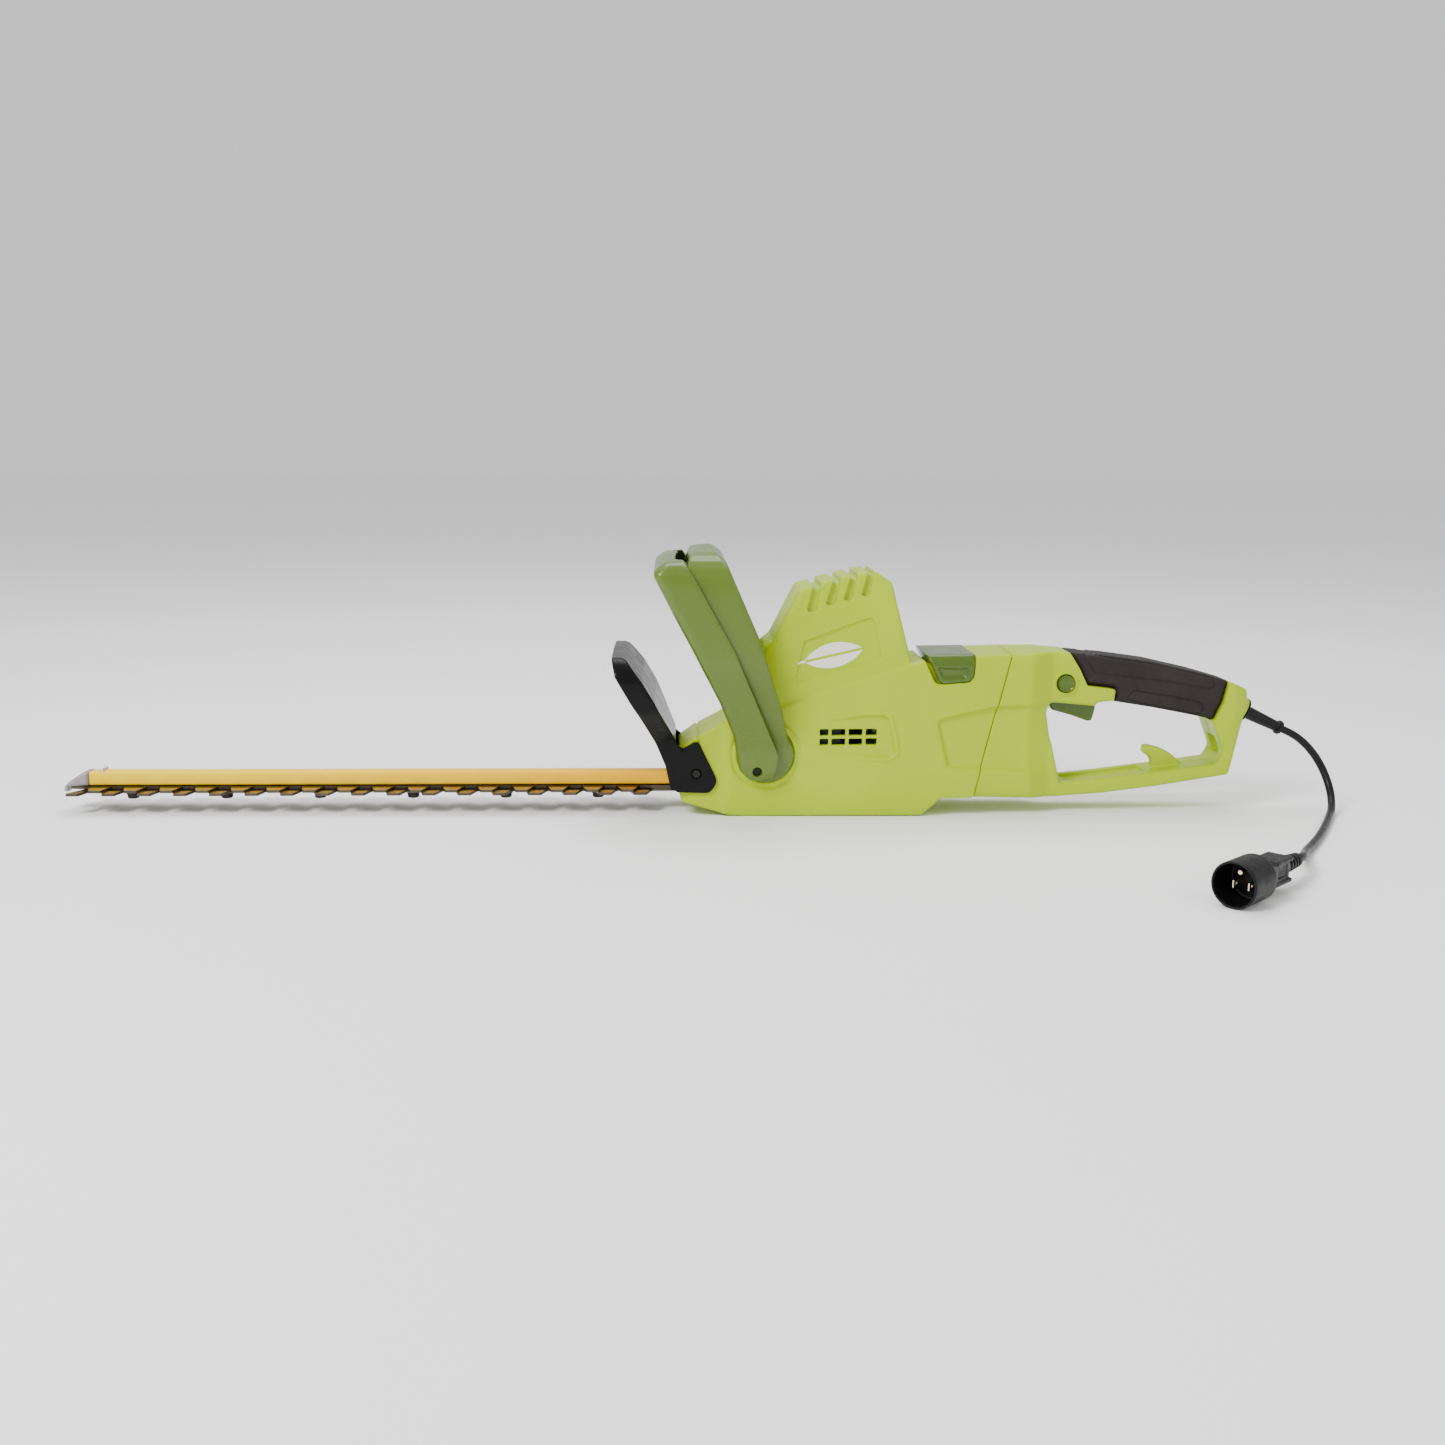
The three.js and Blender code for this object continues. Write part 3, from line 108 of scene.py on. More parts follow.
# ---------------------------------------------------------------- signed distances on a grid
def rounded(points, steps=5):
    """The outline's corners as plain points. A corner's third number is its rounding radius."""
    found = []
    for i, corner in enumerate(points):
        here = np.array(corner[:2], float)
        if len(corner) < 3:
            found.append(here)
            continue
        before = np.array(points[i - 1][:2], float) - here
        after = np.array(points[(i + 1) % len(points)][:2], float) - here
        lengths = np.hypot(*before), np.hypot(*after)
        before, after = before / lengths[0], after / lengths[1]
        half = math.acos(max(-0.9999, min(0.9999, float(before @ after)))) / 2
        reach = min(corner[2] / math.tan(half), 0.48 * lengths[0], 0.48 * lengths[1])
        a, b = here + before * reach, here + after * reach
        for k in range(steps + 1):
            t = k / steps
            found.append((1 - t) ** 2 * a + 2 * t * (1 - t) * here + t * t * b)
    return found


def outline_distance(points, a, b):
    """Distance to a closed outline, negative inside, at the crossings of a column a and a row b."""
    corners = rounded(points)
    nearest = np.full(np.broadcast(a, b).shape, 1e12, np.float32)
    inside = np.zeros(nearest.shape, bool)
    for (x0, y0), (x1, y1) in zip(corners, corners[1:] + corners[:1]):
        ex, ey = x1 - x0, y1 - y0
        length = ex * ex + ey * ey
        if length < 1e-9:
            continue
        wx, wy = a - x0, b - y0
        t = np.clip((wx * ex + wy * ey) / length, 0, 1)
        nearest = np.minimum(nearest, (wx - ex * t) ** 2 + (wy - ey * t) ** 2)
        if abs(ey) > 1e-9:
            inside ^= ((y0 > b) != (y1 > b)) & (a < ex * (b - y0) / ey + x0)
    nearest = np.sqrt(nearest)
    return np.where(inside, -nearest, nearest).astype(np.float32)


def meet(a, b, r=0.0):
    """The part inside both, its new edge rounded to r."""
    if r <= 0:
        return np.maximum(a, b)
    return np.minimum(np.maximum(a, b), -r) + np.hypot(np.maximum(a + r, 0), np.maximum(b + r, 0))


def join(a, b, r=0.0):
    """The part inside either, with a fillet of r."""
    if r <= 0:
        return np.minimum(a, b)
    return np.maximum(np.minimum(a, b), r) - np.hypot(np.maximum(r - a, 0), np.maximum(r - b, 0))


def cut(a, b, r=0.0):
    return meet(a, -b, r)


def press(field, zone, depth, bevel):
    """The surface set back by depth inside a zone, with a sloping wall of width bevel. Negative raises it."""
    t = np.clip(0.5 - zone / bevel, 0, 1)
    return field + depth * t * t * (3 - 2 * t)


class Grid:
    """A block of space sampled every h millimetres, in the drawing's X, Y and Z."""

    def __init__(self, low, high, h):
        self.low, self.h = low, h
        counts = [int(round((b - a) / h)) + 1 for a, b in zip(low, high)]
        x, y, z = [(a + h * np.arange(n)).astype(np.float32) for a, n in zip(low, counts)]
        self.x, self.y, self.z = x[:, None, None], y[None, :, None], z[None, None, :]
        self.shape = tuple(counts)

    def side(self, points):
        return outline_distance(points, self.x[:, 0], self.z[0])[:, None, :]

    def plan(self, points):
        return outline_distance(points, self.x[:, 0], self.y[0].T)[:, :, None]

    def front(self, points):
        return outline_distance(points, self.y[0], self.z[0])[None]

    def swung_side(self, points, pivot, degrees):
        """side(), for an outline turned about a line along Y. Positive carries +Z points to -X."""
        turn = math.radians(degrees)
        x, z = self.x[:, 0] - pivot[0], self.z[0] - pivot[1]
        back_x = x * math.cos(turn) + z * math.sin(turn)
        back_z = z * math.cos(turn) - x * math.sin(turn)
        return outline_distance([(p[0] - pivot[0], p[1] - pivot[1], *p[2:]) for p in points],
                                back_x, back_z)[:, None, :]

    def swung_front(self, seen, pivot, degrees):
        """A front() field of something turned as in swung_side()."""
        turn = math.radians(degrees)
        x, z = self.x[:, 0] - pivot[0], self.z[0] - pivot[1]
        back_z = pivot[1] + z * math.cos(turn) - x * math.sin(turn)
        at = np.clip((back_z - self.low[2]) / self.h, 0, self.shape[2] - 1.001)
        below = at.astype(int)
        part = (at - below).astype(np.float32)[:, None, :]
        return ((1 - part) * seen[0][:, below].transpose(1, 0, 2)
                + part * seen[0][:, below + 1].transpose(1, 0, 2))

    def disc(self, x, z, r):
        return np.hypot(self.x - x, self.z - z) - r

    def band(self, axis, low, high):
        a = getattr(self, axis)
        return np.maximum(low - a, a - high)

    def block(self, x0, x1, y0, y1, z0, z1):
        return np.maximum(np.maximum(self.band("x", x0, x1), self.band("y", y0, y1)), self.band("z", z0, z1))

    def rod(self, x, z, tilt, r, start, end):
        """A round bar whose axis starts at (x, 0, z) and goes towards +X, tilted down."""
        along = (self.x - x) * math.cos(tilt) - (self.z - z) * math.sin(tilt)
        across = (self.x - x) * math.sin(tilt) + (self.z - z) * math.cos(tilt)
        return np.maximum(np.hypot(across, self.y) - r, np.maximum(start - along, along - end))

    def both_sides(self, field):
        """The grid and the field of a whole piece, from one that was drawn for +Y only."""
        middle = round(-self.low[1] / self.h)
        half = field[:, middle:, :]
        whole = np.concatenate([half[:, :0:-1, :], half], axis=1)
        start = self.low[1] + middle * self.h - (half.shape[1] - 1) * self.h
        grid = copy.copy(self)
        grid.low = (self.low[0], start, self.low[2])
        grid.shape = whole.shape
        return grid, whole

    def skin(self, name, field, mirrored=False, adapt=0.0, place=None):
        """The zero surface as a mesh piece. mirrored turns +Y into -Y. place maps drawing points."""
        field = np.broadcast_to(field, self.shape).astype(np.float64)
        grid = openvdb.FloatGrid()
        grid.copyFromArray(field)
        points, triangles, quads = grid.convertToPolygons(0.0, adapt)
        points = points.astype(np.float64) * self.h + np.array(self.low)
        if mirrored:
            points[:, 1] *= -1
        points = place(points) if place else points - (SHIFT_X, 0, 0)
        return surface(name, points * MM, triangles, quads)


def surface(name, points, triangles, quads):
    """A smooth mesh object from arrays, its faces turned outwards."""
    mesh = bpy.data.meshes.new(name)
    loops = np.concatenate([triangles.reshape(-1), quads.reshape(-1)]).astype(np.int32)
    totals = np.concatenate([np.full(len(triangles), 3), np.full(len(quads), 4)]).astype(np.int32)
    starts = np.concatenate([[0], np.cumsum(totals)[:-1]]).astype(np.int32)
    mesh.vertices.add(len(points))
    mesh.vertices.foreach_set("co", points.astype(np.float32).reshape(-1))
    mesh.loops.add(len(loops))
    mesh.loops.foreach_set("vertex_index", loops)
    mesh.polygons.add(len(totals))
    mesh.polygons.foreach_set("loop_start", starts)
    mesh.polygons.foreach_set("loop_total", totals)
    mesh.update(calc_edges=True)
    mesh.validate()
    corners = points[loops[starts[:, None] + np.arange(3)]]
    volume = np.einsum("ij,ij->i", corners[:, 0], np.cross(corners[:, 1], corners[:, 2])).sum()
    if volume < 0:
        mesh.flip_normals()
    mesh.shade_smooth()
    made = bpy.data.objects.new(name, mesh)
    SCENE.collection.objects.link(made)
    return made


# ---------------------------------------------------------------- pieces from points
def lathe(name, profile, at, axis, segments=40):
    """A turned piece. profile is (radius, distance along the axis) in millimetres."""
    axis = Vector(axis).normalized()
    side = axis.orthogonal().normalized()
    other = axis.cross(side)
    verts, faces, rings = [], [], []
    for r, s in profile:
        centre = Vector(at) + axis * s
        if r < 1e-6:
            rings.append([len(verts)])
            verts.append(centre)
            continue
        ring = []
        for k in range(segments):
            angle = 2 * math.pi * k / segments
            ring.append(len(verts))
            verts.append(centre + (side * math.cos(angle) + other * math.sin(angle)) * r)
        rings.append(ring)
    for a, b in zip(rings, rings[1:]):
        for k in range(segments):
            n = (k + 1) % segments
            corners = [a[k % len(a)], a[n % len(a)], b[n % len(b)], b[k % len(b)]]
            faces.append([c for i, c in enumerate(corners) if c not in corners[:i]])
    return solid(name, verts, [f for f in faces if len(f) > 2])


def solid(name, verts, faces):
    mesh = bpy.data.meshes.new(name)
    mesh.from_pydata([row(*v) for v in verts], [], faces)
    mesh.update()
    made = bpy.data.objects.new(name, mesh)
    SCENE.collection.objects.link(made)
    outward(mesh)
    mesh.shade_smooth()
    mesh.set_sharp_from_angle(angle=math.radians(30))
    return made


def outward(mesh):
    """Turns the faces of a closed mesh outwards."""
    mesh.calc_loop_triangles()
    volume = 0.0
    for t in mesh.loop_triangles:
        a, b, c = (mesh.vertices[i].co for i in t.vertices)
        volume += a.dot(b.cross(c))
    if volume < 0:
        mesh.flip_normals()


def slab(name, outline, z0, z1, holes=(), bevel=0.0):
    """A flat plate seen from above, with through holes, from outlines in X and Y."""
    curve = bpy.data.curves.new(name, "CURVE")
    curve.dimensions = "2D"
    curve.fill_mode = "BOTH"
    curve.extrude = (z1 - z0) / 2
    for points in (outline, *holes):
        corners = rounded(points)
        spline = curve.splines.new("POLY")
        spline.points.add(len(corners) - 1)
        for point, corner in zip(spline.points, corners):
            point.co = (corner[0], corner[1], 0, 1)
        spline.use_cyclic_u = True
    draft = bpy.data.objects.new(name + "_draft", curve)
    SCENE.collection.objects.link(draft)
    bpy.context.view_layer.update()
    mesh = bpy.data.meshes.new_from_object(draft.evaluated_get(bpy.context.evaluated_depsgraph_get()))
    bpy.data.objects.remove(draft)
    bpy.data.curves.remove(curve)
    verts = [(v.co.x, v.co.y, v.co.z + (z0 + z1) / 2) for v in mesh.vertices]
    faces = [list(p.vertices) for p in mesh.polygons]
    bpy.data.meshes.remove(mesh)
    made = solid(name, verts, faces)
    weld(made)
    if bevel:
        modifier = made.modifiers.new("edges", "BEVEL")
        modifier.width = bevel * MM
        modifier.segments = 2
        modifier.limit_method = "ANGLE"
        modifier.angle_limit = math.radians(35)
        modifier.harden_normals = True
    return made


def weld(made):
    work = bmesh.new()
    work.from_mesh(made.data)
    bmesh.ops.remove_doubles(work, verts=work.verts, dist=1e-6)
    bmesh.ops.dissolve_limit(work, angle_limit=math.radians(0.5), verts=work.verts, edges=work.edges)
    work.to_mesh(made.data)
    work.free()
    outward(made.data)
    made.data.set_sharp_from_angle(angle=math.radians(30))


# ---------------------------------------------------------------- materials
def socket(node, name, value):
    node.inputs[name].default_value = value


class Paint:
    """Builds one node material round a Principled shader."""

    def __init__(self, name, rough, metallic=0.0, gleam=0.5):
        self.material = bpy.data.materials.new(name)
        self.material.use_nodes = True
        self.nodes, self.links = self.material.node_tree.nodes, self.material.node_tree.links
        self.shader = self.nodes["Principled BSDF"]
        for key, value in (("Roughness", rough), ("Metallic", metallic), ("Specular IOR Level", gleam)):
            socket(self.shader, key, value)
        self.where = self.nodes.new("ShaderNodeTexCoord").outputs["Object"]
        self.bumps = []

    def noise(self, scale, detail=3.0, stretch=None):
        node = self.nodes.new("ShaderNodeTexNoise")
        socket(node, "Scale", scale)
        socket(node, "Detail", detail)
        source = self.where
        if stretch:
            mapping = self.nodes.new("ShaderNodeMapping")
            mapping.inputs["Scale"].default_value = stretch
            self.links.new(self.where, mapping.inputs["Vector"])
            source = mapping.outputs["Vector"]
        self.links.new(source, node.inputs["Vector"])
        return node.outputs["Fac"]

    def cells(self, scale):
        node = self.nodes.new("ShaderNodeTexVoronoi")
        socket(node, "Scale", scale)
        self.links.new(self.where, node.inputs["Vector"])
        return node.outputs["Distance"]

    def remap(self, source, a, b, c, d):
        node = self.nodes.new("ShaderNodeMapRange")
        for key, value in (("From Min", a), ("From Max", b), ("To Min", c), ("To Max", d)):
            socket(node, key, value)
        self.links.new(source, node.inputs["Value"])
        return node.outputs["Result"]

    def blend(self, factor, first, second):
        node = self.nodes.new("ShaderNodeMix")
        node.data_type = "RGBA"
        self.links.new(factor, node.inputs[0])
        for index, value in ((6, first), (7, second)):
            if isinstance(value, tuple):
                node.inputs[index].default_value = (*value, 1)
            else:
                self.links.new(value, node.inputs[index])
        return node.outputs[2]

    def axis(self, name):
        node = self.nodes.new("ShaderNodeSeparateXYZ")
        self.links.new(self.where, node.inputs["Vector"])
        return node.outputs[name]

    def size_of(self, source):
        node = self.nodes.new("ShaderNodeMath")
        node.operation = "ABSOLUTE"
        self.links.new(source, node.inputs[0])
        return node.outputs[0]

    def set(self, name, source):
        self.links.new(source, self.shader.inputs[name])
        return self

    def bump(self, source, strength, depth):
        node = self.nodes.new("ShaderNodeBump")
        socket(node, "Strength", strength)
        socket(node, "Distance", depth)
        self.links.new(source, node.inputs["Height"])
        if self.bumps:
            self.links.new(self.bumps[-1], node.inputs["Normal"])
        self.bumps.append(node.outputs["Normal"])
        self.links.new(node.outputs["Normal"], self.shader.inputs["Normal"])
        return self


def tone(color, factor):
    return tuple(min(1.0, c * factor) for c in color)


def moulded(name, color, rough, grain=0.00003, spread=0.05, gleam=0.4):
    """Moulded plastic: a fine eroded texture, faint flow marks in colour and gloss."""
    paint = Paint(name, rough, gleam=gleam)
    slow = paint.noise(9, 4)
    paint.set("Base Color", paint.blend(paint.remap(slow, 0.3, 0.7, 0, 1), tone(color, 1 - spread),
                                        tone(color, 1 + spread)))
    paint.set("Roughness", paint.remap(paint.noise(60, 5), 0.3, 0.7, rough - 0.05, rough + 0.05))
    paint.bump(paint.noise(1400, 2), 0.35, grain)
    paint.bump(paint.noise(18, 1), 0.1, 0.0001)
    return paint


def brushed(name, color, rough, along=(1, 60, 60)):
    """Ground or brushed metal, its scratches running along one axis."""
    paint = Paint(name, rough, metallic=1.0)
    lines = paint.noise(90, 4, stretch=along)
    stains = paint.noise(18, 4)
    shade = paint.blend(paint.remap(lines, 0.3, 0.7, 0, 1), tone(color, 0.85), tone(color, 1.15))
    paint.set("Base Color", paint.blend(paint.remap(stains, 0.45, 0.75, 0, 0.6), shade, tone(color, 0.62)))
    paint.set("Roughness", paint.remap(lines, 0.2, 0.8, rough - 0.08, rough + 0.12))
    paint.bump(lines, 0.4, 0.00002)
    return paint


LIME = (0.370, 0.505, 0.0)
OLIVE = (0.088, 0.140, 0.010)
lime = moulded("lime_plastic", LIME, 0.34, grain=0.00002, gleam=0.22).material
olive = moulded("olive_plastic", OLIVE, 0.26, grain=0.00001, spread=0.06, gleam=0.45).material
leafy = moulded("olive_button_plastic", (0.060, 0.110, 0.006), 0.24, grain=0.00001, gleam=0.45).material
guard_black = moulded("guard_plastic", (0.0035, 0.0035, 0.0038), 0.26, grain=0.00001, spread=0.2,
                      gleam=0.13).material
inner_black = moulded("inner_plastic", (0.003, 0.003, 0.003), 0.6, gleam=0.2).material
tip_grey = moulded("tip_plastic", (0.30, 0.265, 0.275), 0.42, grain=0.00006, spread=0.12).material
print_white = moulded("white_print", (0.80, 0.78, 0.68), 0.5, spread=0.03).material
plain_grey = moulded("grey_plastic", (0.16, 0.16, 0.165), 0.5).material


def grip_rubber():
    paint = Paint("grip_rubber", 0.62, gleam=0.22)
    base = (0.017, 0.0125, 0.013)
    dust = paint.noise(30, 5)
    paint.set("Base Color", paint.blend(paint.remap(dust, 0.35, 0.75, 0, 1), base, tone(base, 1.35)))
    paint.set("Roughness", paint.remap(paint.noise(140, 3), 0.3, 0.7, 0.52, 0.72))
    paint.bump(paint.cells(900), 0.5, 0.00012)
    paint.bump(paint.noise(2600, 2), 0.3, 0.00004)
    return paint.material


def cable_rubber(name, rough):
    paint = Paint(name, rough, gleam=0.22)
    base = (0.0025, 0.0025, 0.0028)
    paint.set("Base Color", paint.blend(paint.remap(paint.noise(40, 4), 0.35, 0.7, 0, 1), base,
                                        tone(base, 1.9)))
    paint.set("Roughness", paint.remap(paint.noise(200, 4), 0.3, 0.7, rough - 0.07, rough + 0.1))
    paint.bump(paint.noise(1300, 2), 0.35, 0.00005)
    return paint.material


def yellow_coat():
    paint = Paint("yellow_coat", 0.36, gleam=0.08)
    towards_root = paint.remap(paint.axis("X"), -0.42, 0.0, 0, 1)
    shade = paint.blend(towards_root, (0.98, 0.66, 0.0), (0.98, 0.50, 0.0))
    paint.set("Base Color", paint.blend(paint.remap(paint.noise(30, 4), 0.4, 0.8, 0, 0.2), shade,
                                        (0.90, 0.50, 0.0)))
    paint.set("Roughness", paint.remap(paint.noise(90, 3), 0.3, 0.7, 0.26, 0.40))
    paint.bump(paint.noise(420, 3), 0.25, 0.00004)
    return paint.material


def blade_steel():
    """Dark steel in a strip within 16.5 mm of the middle, by the bar, turning to the bronzed ground face of
    the teeth.
    """
    paint = Paint("blade_steel", 0.38, metallic=0.85)
    reach = paint.size_of(paint.axis("Y"))
    lines = paint.noise(120, 4, stretch=(8, 1, 1))
    worn = paint.blend(paint.remap(lines, 0.3, 0.7, 0, 1), (0.25, 0.155, 0.04), (0.46, 0.31, 0.10))
    shade = paint.blend(paint.remap(reach, 0.0165, 0.0195, 0, 1), (0.030, 0.021, 0.012), worn)
    paint.set("Base Color", paint.blend(paint.remap(paint.noise(45, 5), 0.52, 0.8, 0, 0.7), shade,
                                        (0.10, 0.055, 0.02)))
    paint.set("Roughness", paint.remap(lines, 0.2, 0.8, 0.30, 0.52))
    paint.bump(lines, 0.4, 0.00003)
    return paint.material


grip_skin = grip_rubber()
cable = cable_rubber("cable_rubber", 0.36)
plug_rubber = cable_rubber("plug_rubber", 0.42)
yellow = yellow_coat()
blade_face = blade_steel()
edge_steel = brushed("edge_steel", (0.10, 0.085, 0.06), 0.42).material
bolt_black = brushed("bolt_black", (0.035, 0.032, 0.03), 0.38, along=(20, 20, 1)).material
washer_steel = brushed("washer_steel", (0.62, 0.60, 0.57), 0.26, along=(30, 30, 1)).material
screw_steel = brushed("screw_steel", (0.55, 0.55, 0.55), 0.3, along=(30, 30, 1)).material
pin_brass = brushed("pin_brass", (0.86, 0.74, 0.48), 0.16, along=(1, 1, 20)).material
dark_steel = brushed("dark_steel", (0.03, 0.03, 0.031), 0.5).material
copper = brushed("copper_winding", (0.75, 0.33, 0.13), 0.34, along=(1, 1, 50)).material


def dress(piece, body, material, slot, *nodes):
    """Puts a finished piece on its body, in place of its CAD nodes."""
    piece.data.materials.clear()
    piece.data.materials.append(material)
    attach(piece, body)
    if nodes:
        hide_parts(*nodes)
    return piece


# ---------------------------------------------------------------- shapes shared by several pieces
SWIVEL = (308.5, 82.0)
SWIVEL_TILT = math.radians(13.5)
HUB = (98.7, 59.8)
SEAM = 0.12


def split_x(z):
    return SWIVEL[0] + (z - SWIVEL[1]) * math.tan(SWIVEL_TILT)


def past_split(g):
    """Distance past the plane that the rear handle turns on, positive behind it."""
    return (g.x - SWIVEL[0]) * math.cos(SWIVEL_TILT) - (g.z - SWIVEL[1]) * math.sin(SWIVEL_TILT)


SIDE_PANEL = [(257.5, 91, 4), (268.5, 46.8, 6), (366, 41.5), (372, 104.5), (312, 102.6), (285, 97.5)]


def pressed_side_panel(g, field):
    depth = 4.4 * np.clip((372 - g.x) / 34, 0, 1)
    return press(field, g.side(SIDE_PANEL), depth, 4.6)


LATCH_SIDE = [(246.6, 151.5), (258.3, 127.3, 4), (262, 125.3, 3), (285.4, 127.4, 4), (289.6, 131.8, 2),
              (291.2, 152.5)]
LATCH_TRAVEL = 4.0


# ---------------------------------------------------------------- motor housing
HOUSING_SCREWS = [(46, 58), (234, 26), (138, 204)]
BODY_SIDE = [
    (19, 22), (21, 13.4, 3), (68, 0, 16), (244.5, 0, 4), (262.3, 17.5, 5), (340, 17.5), (360, 153.4),
    (262, 150.2, 12), (249, 147.2, 6), (231, 143.3), (121, 106.5), (85, 97), (61, 89.5, 8), (33.5, 75.2),
    (19, 65.2, 5),
]
HUMP_SIDE = [
    (70, 70), (250, 70), (246, 146.5), (233, 142.8, 3), (219.5, 193, 30), (213.5, 217.5, 9), (196, 229.3, 9),
    (160, 221.3), (128.5, 211.5, 5), (105.2, 165, 3), (97.2, 158.8, 3), (84, 118), (61, 89.5),
]
BODY_PLAN = [
    (10, 33), (10, -10), (340, -10), (340, 37.6), (290, 40), (250, 42, 30), (67, 42, 7), (57, 36, 5),
    (30, 36, 10), (19, 33.5),
]
LABEL_PANEL = [(125, 125.4, 4), (205.2, 147, 5), (196.5, 187.6, 7), (133.2, 164, 3)]
HUMP_SLOTS = [
    [(135.2, 191.5, 2), (143.8, 191, 2.5), (148.6, 217), (141.6, 216.2)],
    [(152.4, 198, 2), (160.6, 197, 2.5), (166, 222.5), (160, 221.4)],
    [(168.7, 202, 2), (176.4, 201.3, 2.5), (182, 226), (176, 225.2)],
    [(184.8, 206, 2), (192, 205.4, 2.5), (197.4, 229), (191.8, 228.6)],
]
GRILLE_X = [(148.8, 156.8), (159.6, 172.4), (175.6, 188.2), (191.4, 201.7)]
GRILLE_Z = [(77.1, 83.1), (68.2, 74.1)]


def housing_field(g):
    body = meet(meet(g.side(BODY_SIDE), g.plan(BODY_PLAN), 2.6),
                g.front([(-20, 0), (38.5, 0), (42, 10, 6), (42, 147, 10), (35, 156.5, 8), (-20, 160)]), 3.0)
    crease = 27 - (g.x - 98) * 0.052
    body = meet(body, (g.y - 42 + 0.21 * (crease - g.z)) / 1.022, 0.6)
    hump_front = g.front([(-20, 60), (38, 60), (38, 188, 30), (33.5, 231, 6), (-20, 231)])
    slope = (g.side([(60, 60), (84, 60), (110, 160), (131, 213), (131, 240), (60, 240)])) / 6
    hump = meet(g.side(HUMP_SIDE), hump_front + np.clip(-slope, -0.5, 2.0), 3.6)
    field = join(body, hump, 2.2)
    # the pressed label panel, the grille's ramp and its rim, the hub's pocket and its rim
    field = press(field, g.side(LABEL_PANEL), 2.0, 1.5)
    ramp = np.clip((g.x - 144) / 62, 0, 1)
    mouth = g.side([(140, 62.5), (190, 58.8), (212, 56.6, 6), (219, 62, 4), (211, 95.8, 7), (192, 95.8),
                    (140, 88)])
    field = press(field, mouth - 4.4, -1.9 * ramp, 2.6)
    field = press(field, mouth, 5.6 * ramp, 3.0)
    hub = np.hypot(g.x - HUB[0], g.z - HUB[1])
    field = press(field, hub - 32.5, 1.6, 3.0)
    field = press(field, hub - 29.6, -2.2, 2.6)
    field = cut(field, np.maximum(hub - 26.5, 39.9 - g.y), 0.7)
    field = pressed_side_panel(g, field)
    # a joint line over the nose, where the gear case's cap starts
    nose_line = np.abs((g.x - 38.5) * 0.97 + (g.z - 60) * 0.1) - 0.6
    field = cut(field, np.maximum(nose_line, -(field + 1.5)) + np.clip(58 - g.z, 0, 1) * 9, 0.2)
    # slots and grille
    for slot in HUMP_SLOTS:
        shape = g.side(slot)
        field = cut(field, np.maximum(shape, -(field + 4.4)), 0.5)
    for x0, x1 in GRILLE_X:
        for z0, z1 in GRILLE_Z:
            field = cut(field, np.maximum(np.maximum(g.band("x", x0, x1), g.band("z", z0, z1)), 24 - g.y),
                        0.5)
    field = cut(field, g.block(126, 206, -9, 33, 60, 136), 0)
    # seats of the guard's ears, the latch and the handle's screws
    latch = np.minimum(g.side(LATCH_SIDE), g.side([(x - LATCH_TRAVEL, *rest) for x,
                                                   *rest in LATCH_SIDE])) - 0.5
    core = g.front([(-20, 90), (31, 90), (31, 136, 6), (26, 141, 4), (-20, 141)])
    field = cut(field, np.maximum(latch, -core), 0.5)
    field = meet(field, past_split(g) + 0.2, 0.7)
    return meet(field, SEAM - g.y, 0.55)


def make_housing():
    g = Grid((14, -1.2, -2), (332, 44.4, 232.4), 0.9)
    field = housing_field(g)
    left = g.skin("housing_shell_left", field, mirrored=True, adapt=0.02)
    for x, z in HOUSING_SCREWS:
        field = cut(field, np.maximum(g.disc(x, z, 4.1), 34 - g.y), 0.6)
    right = g.skin("housing_shell_right", field, adapt=0.02)
    dress(left, "motor_body", lime, "housing", "housing_left")
    dress(right, "motor_body", lime, "housing", "housing_right")


# ---------------------------------------------------------------- rear handle
REAR_SIDE = [
    (270, 17.5), (300, 17), (373, 15.0), (417, 18.0), (472, 25.0), (538.5, 35.6, 3), (550.5, 84, 5),
    (557.5, 104, 4),
    (554.8, 116.2, 5), (534, 125), (503, 133.4), (461, 142.9), (419, 148.6), (384, 151.8), (361, 153.4, 30),
    (270, 152.6),
]
D_OPENING = [
    (378.2, 28.2, 4), (417, 32.2), (472, 39), (527, 46.5, 5), (532.5, 57, 8), (521, 87.5, 9), (494, 93.2),
    (463, 99),
    (430, 104.2, 10), (425, 106.4, 3), (411.5, 105, 4), (408, 101.5, 3), (366, 105.2, 4), (363.4, 96, 10),
    (367.2, 73, 30),
]
REAR_PLAN = [
    (270, 41), (310, 38.6), (345, 37.8, 12), (366, 25, 9), (383, 24), (541, 24, 8), (556, 16, 8),
    (558, -10), (270, -10),
]
GRIP_SIDE = [
    (426, 105.0, 4), (463, 99.2), (494, 93.4), (522.5, 87.6, 4), (530, 104), (534.6, 125.2, 1),
    (503, 134.1), (461, 143.6),
    (419, 149.3), (382.5, 152.5, 1), (392.5, 137), (400.4, 121, 3), (427, 117.8, 3),
]
HOOK = [
    (497, 36), (499, 44), (488, 53, 10), (477.5, 58.2, 8), (467, 60.6, 6), (456.5, 60.2, 3),
    (453.2, 57, 2.5), (456, 53.9, 2),
    (463.5, 52.6, 5), (469.5, 48, 6), (472, 36),
]
LOCK = (379.2, 123.4)
HANDLE_JOINT_SCREWS = [(349, 30), (533.5, 41)]


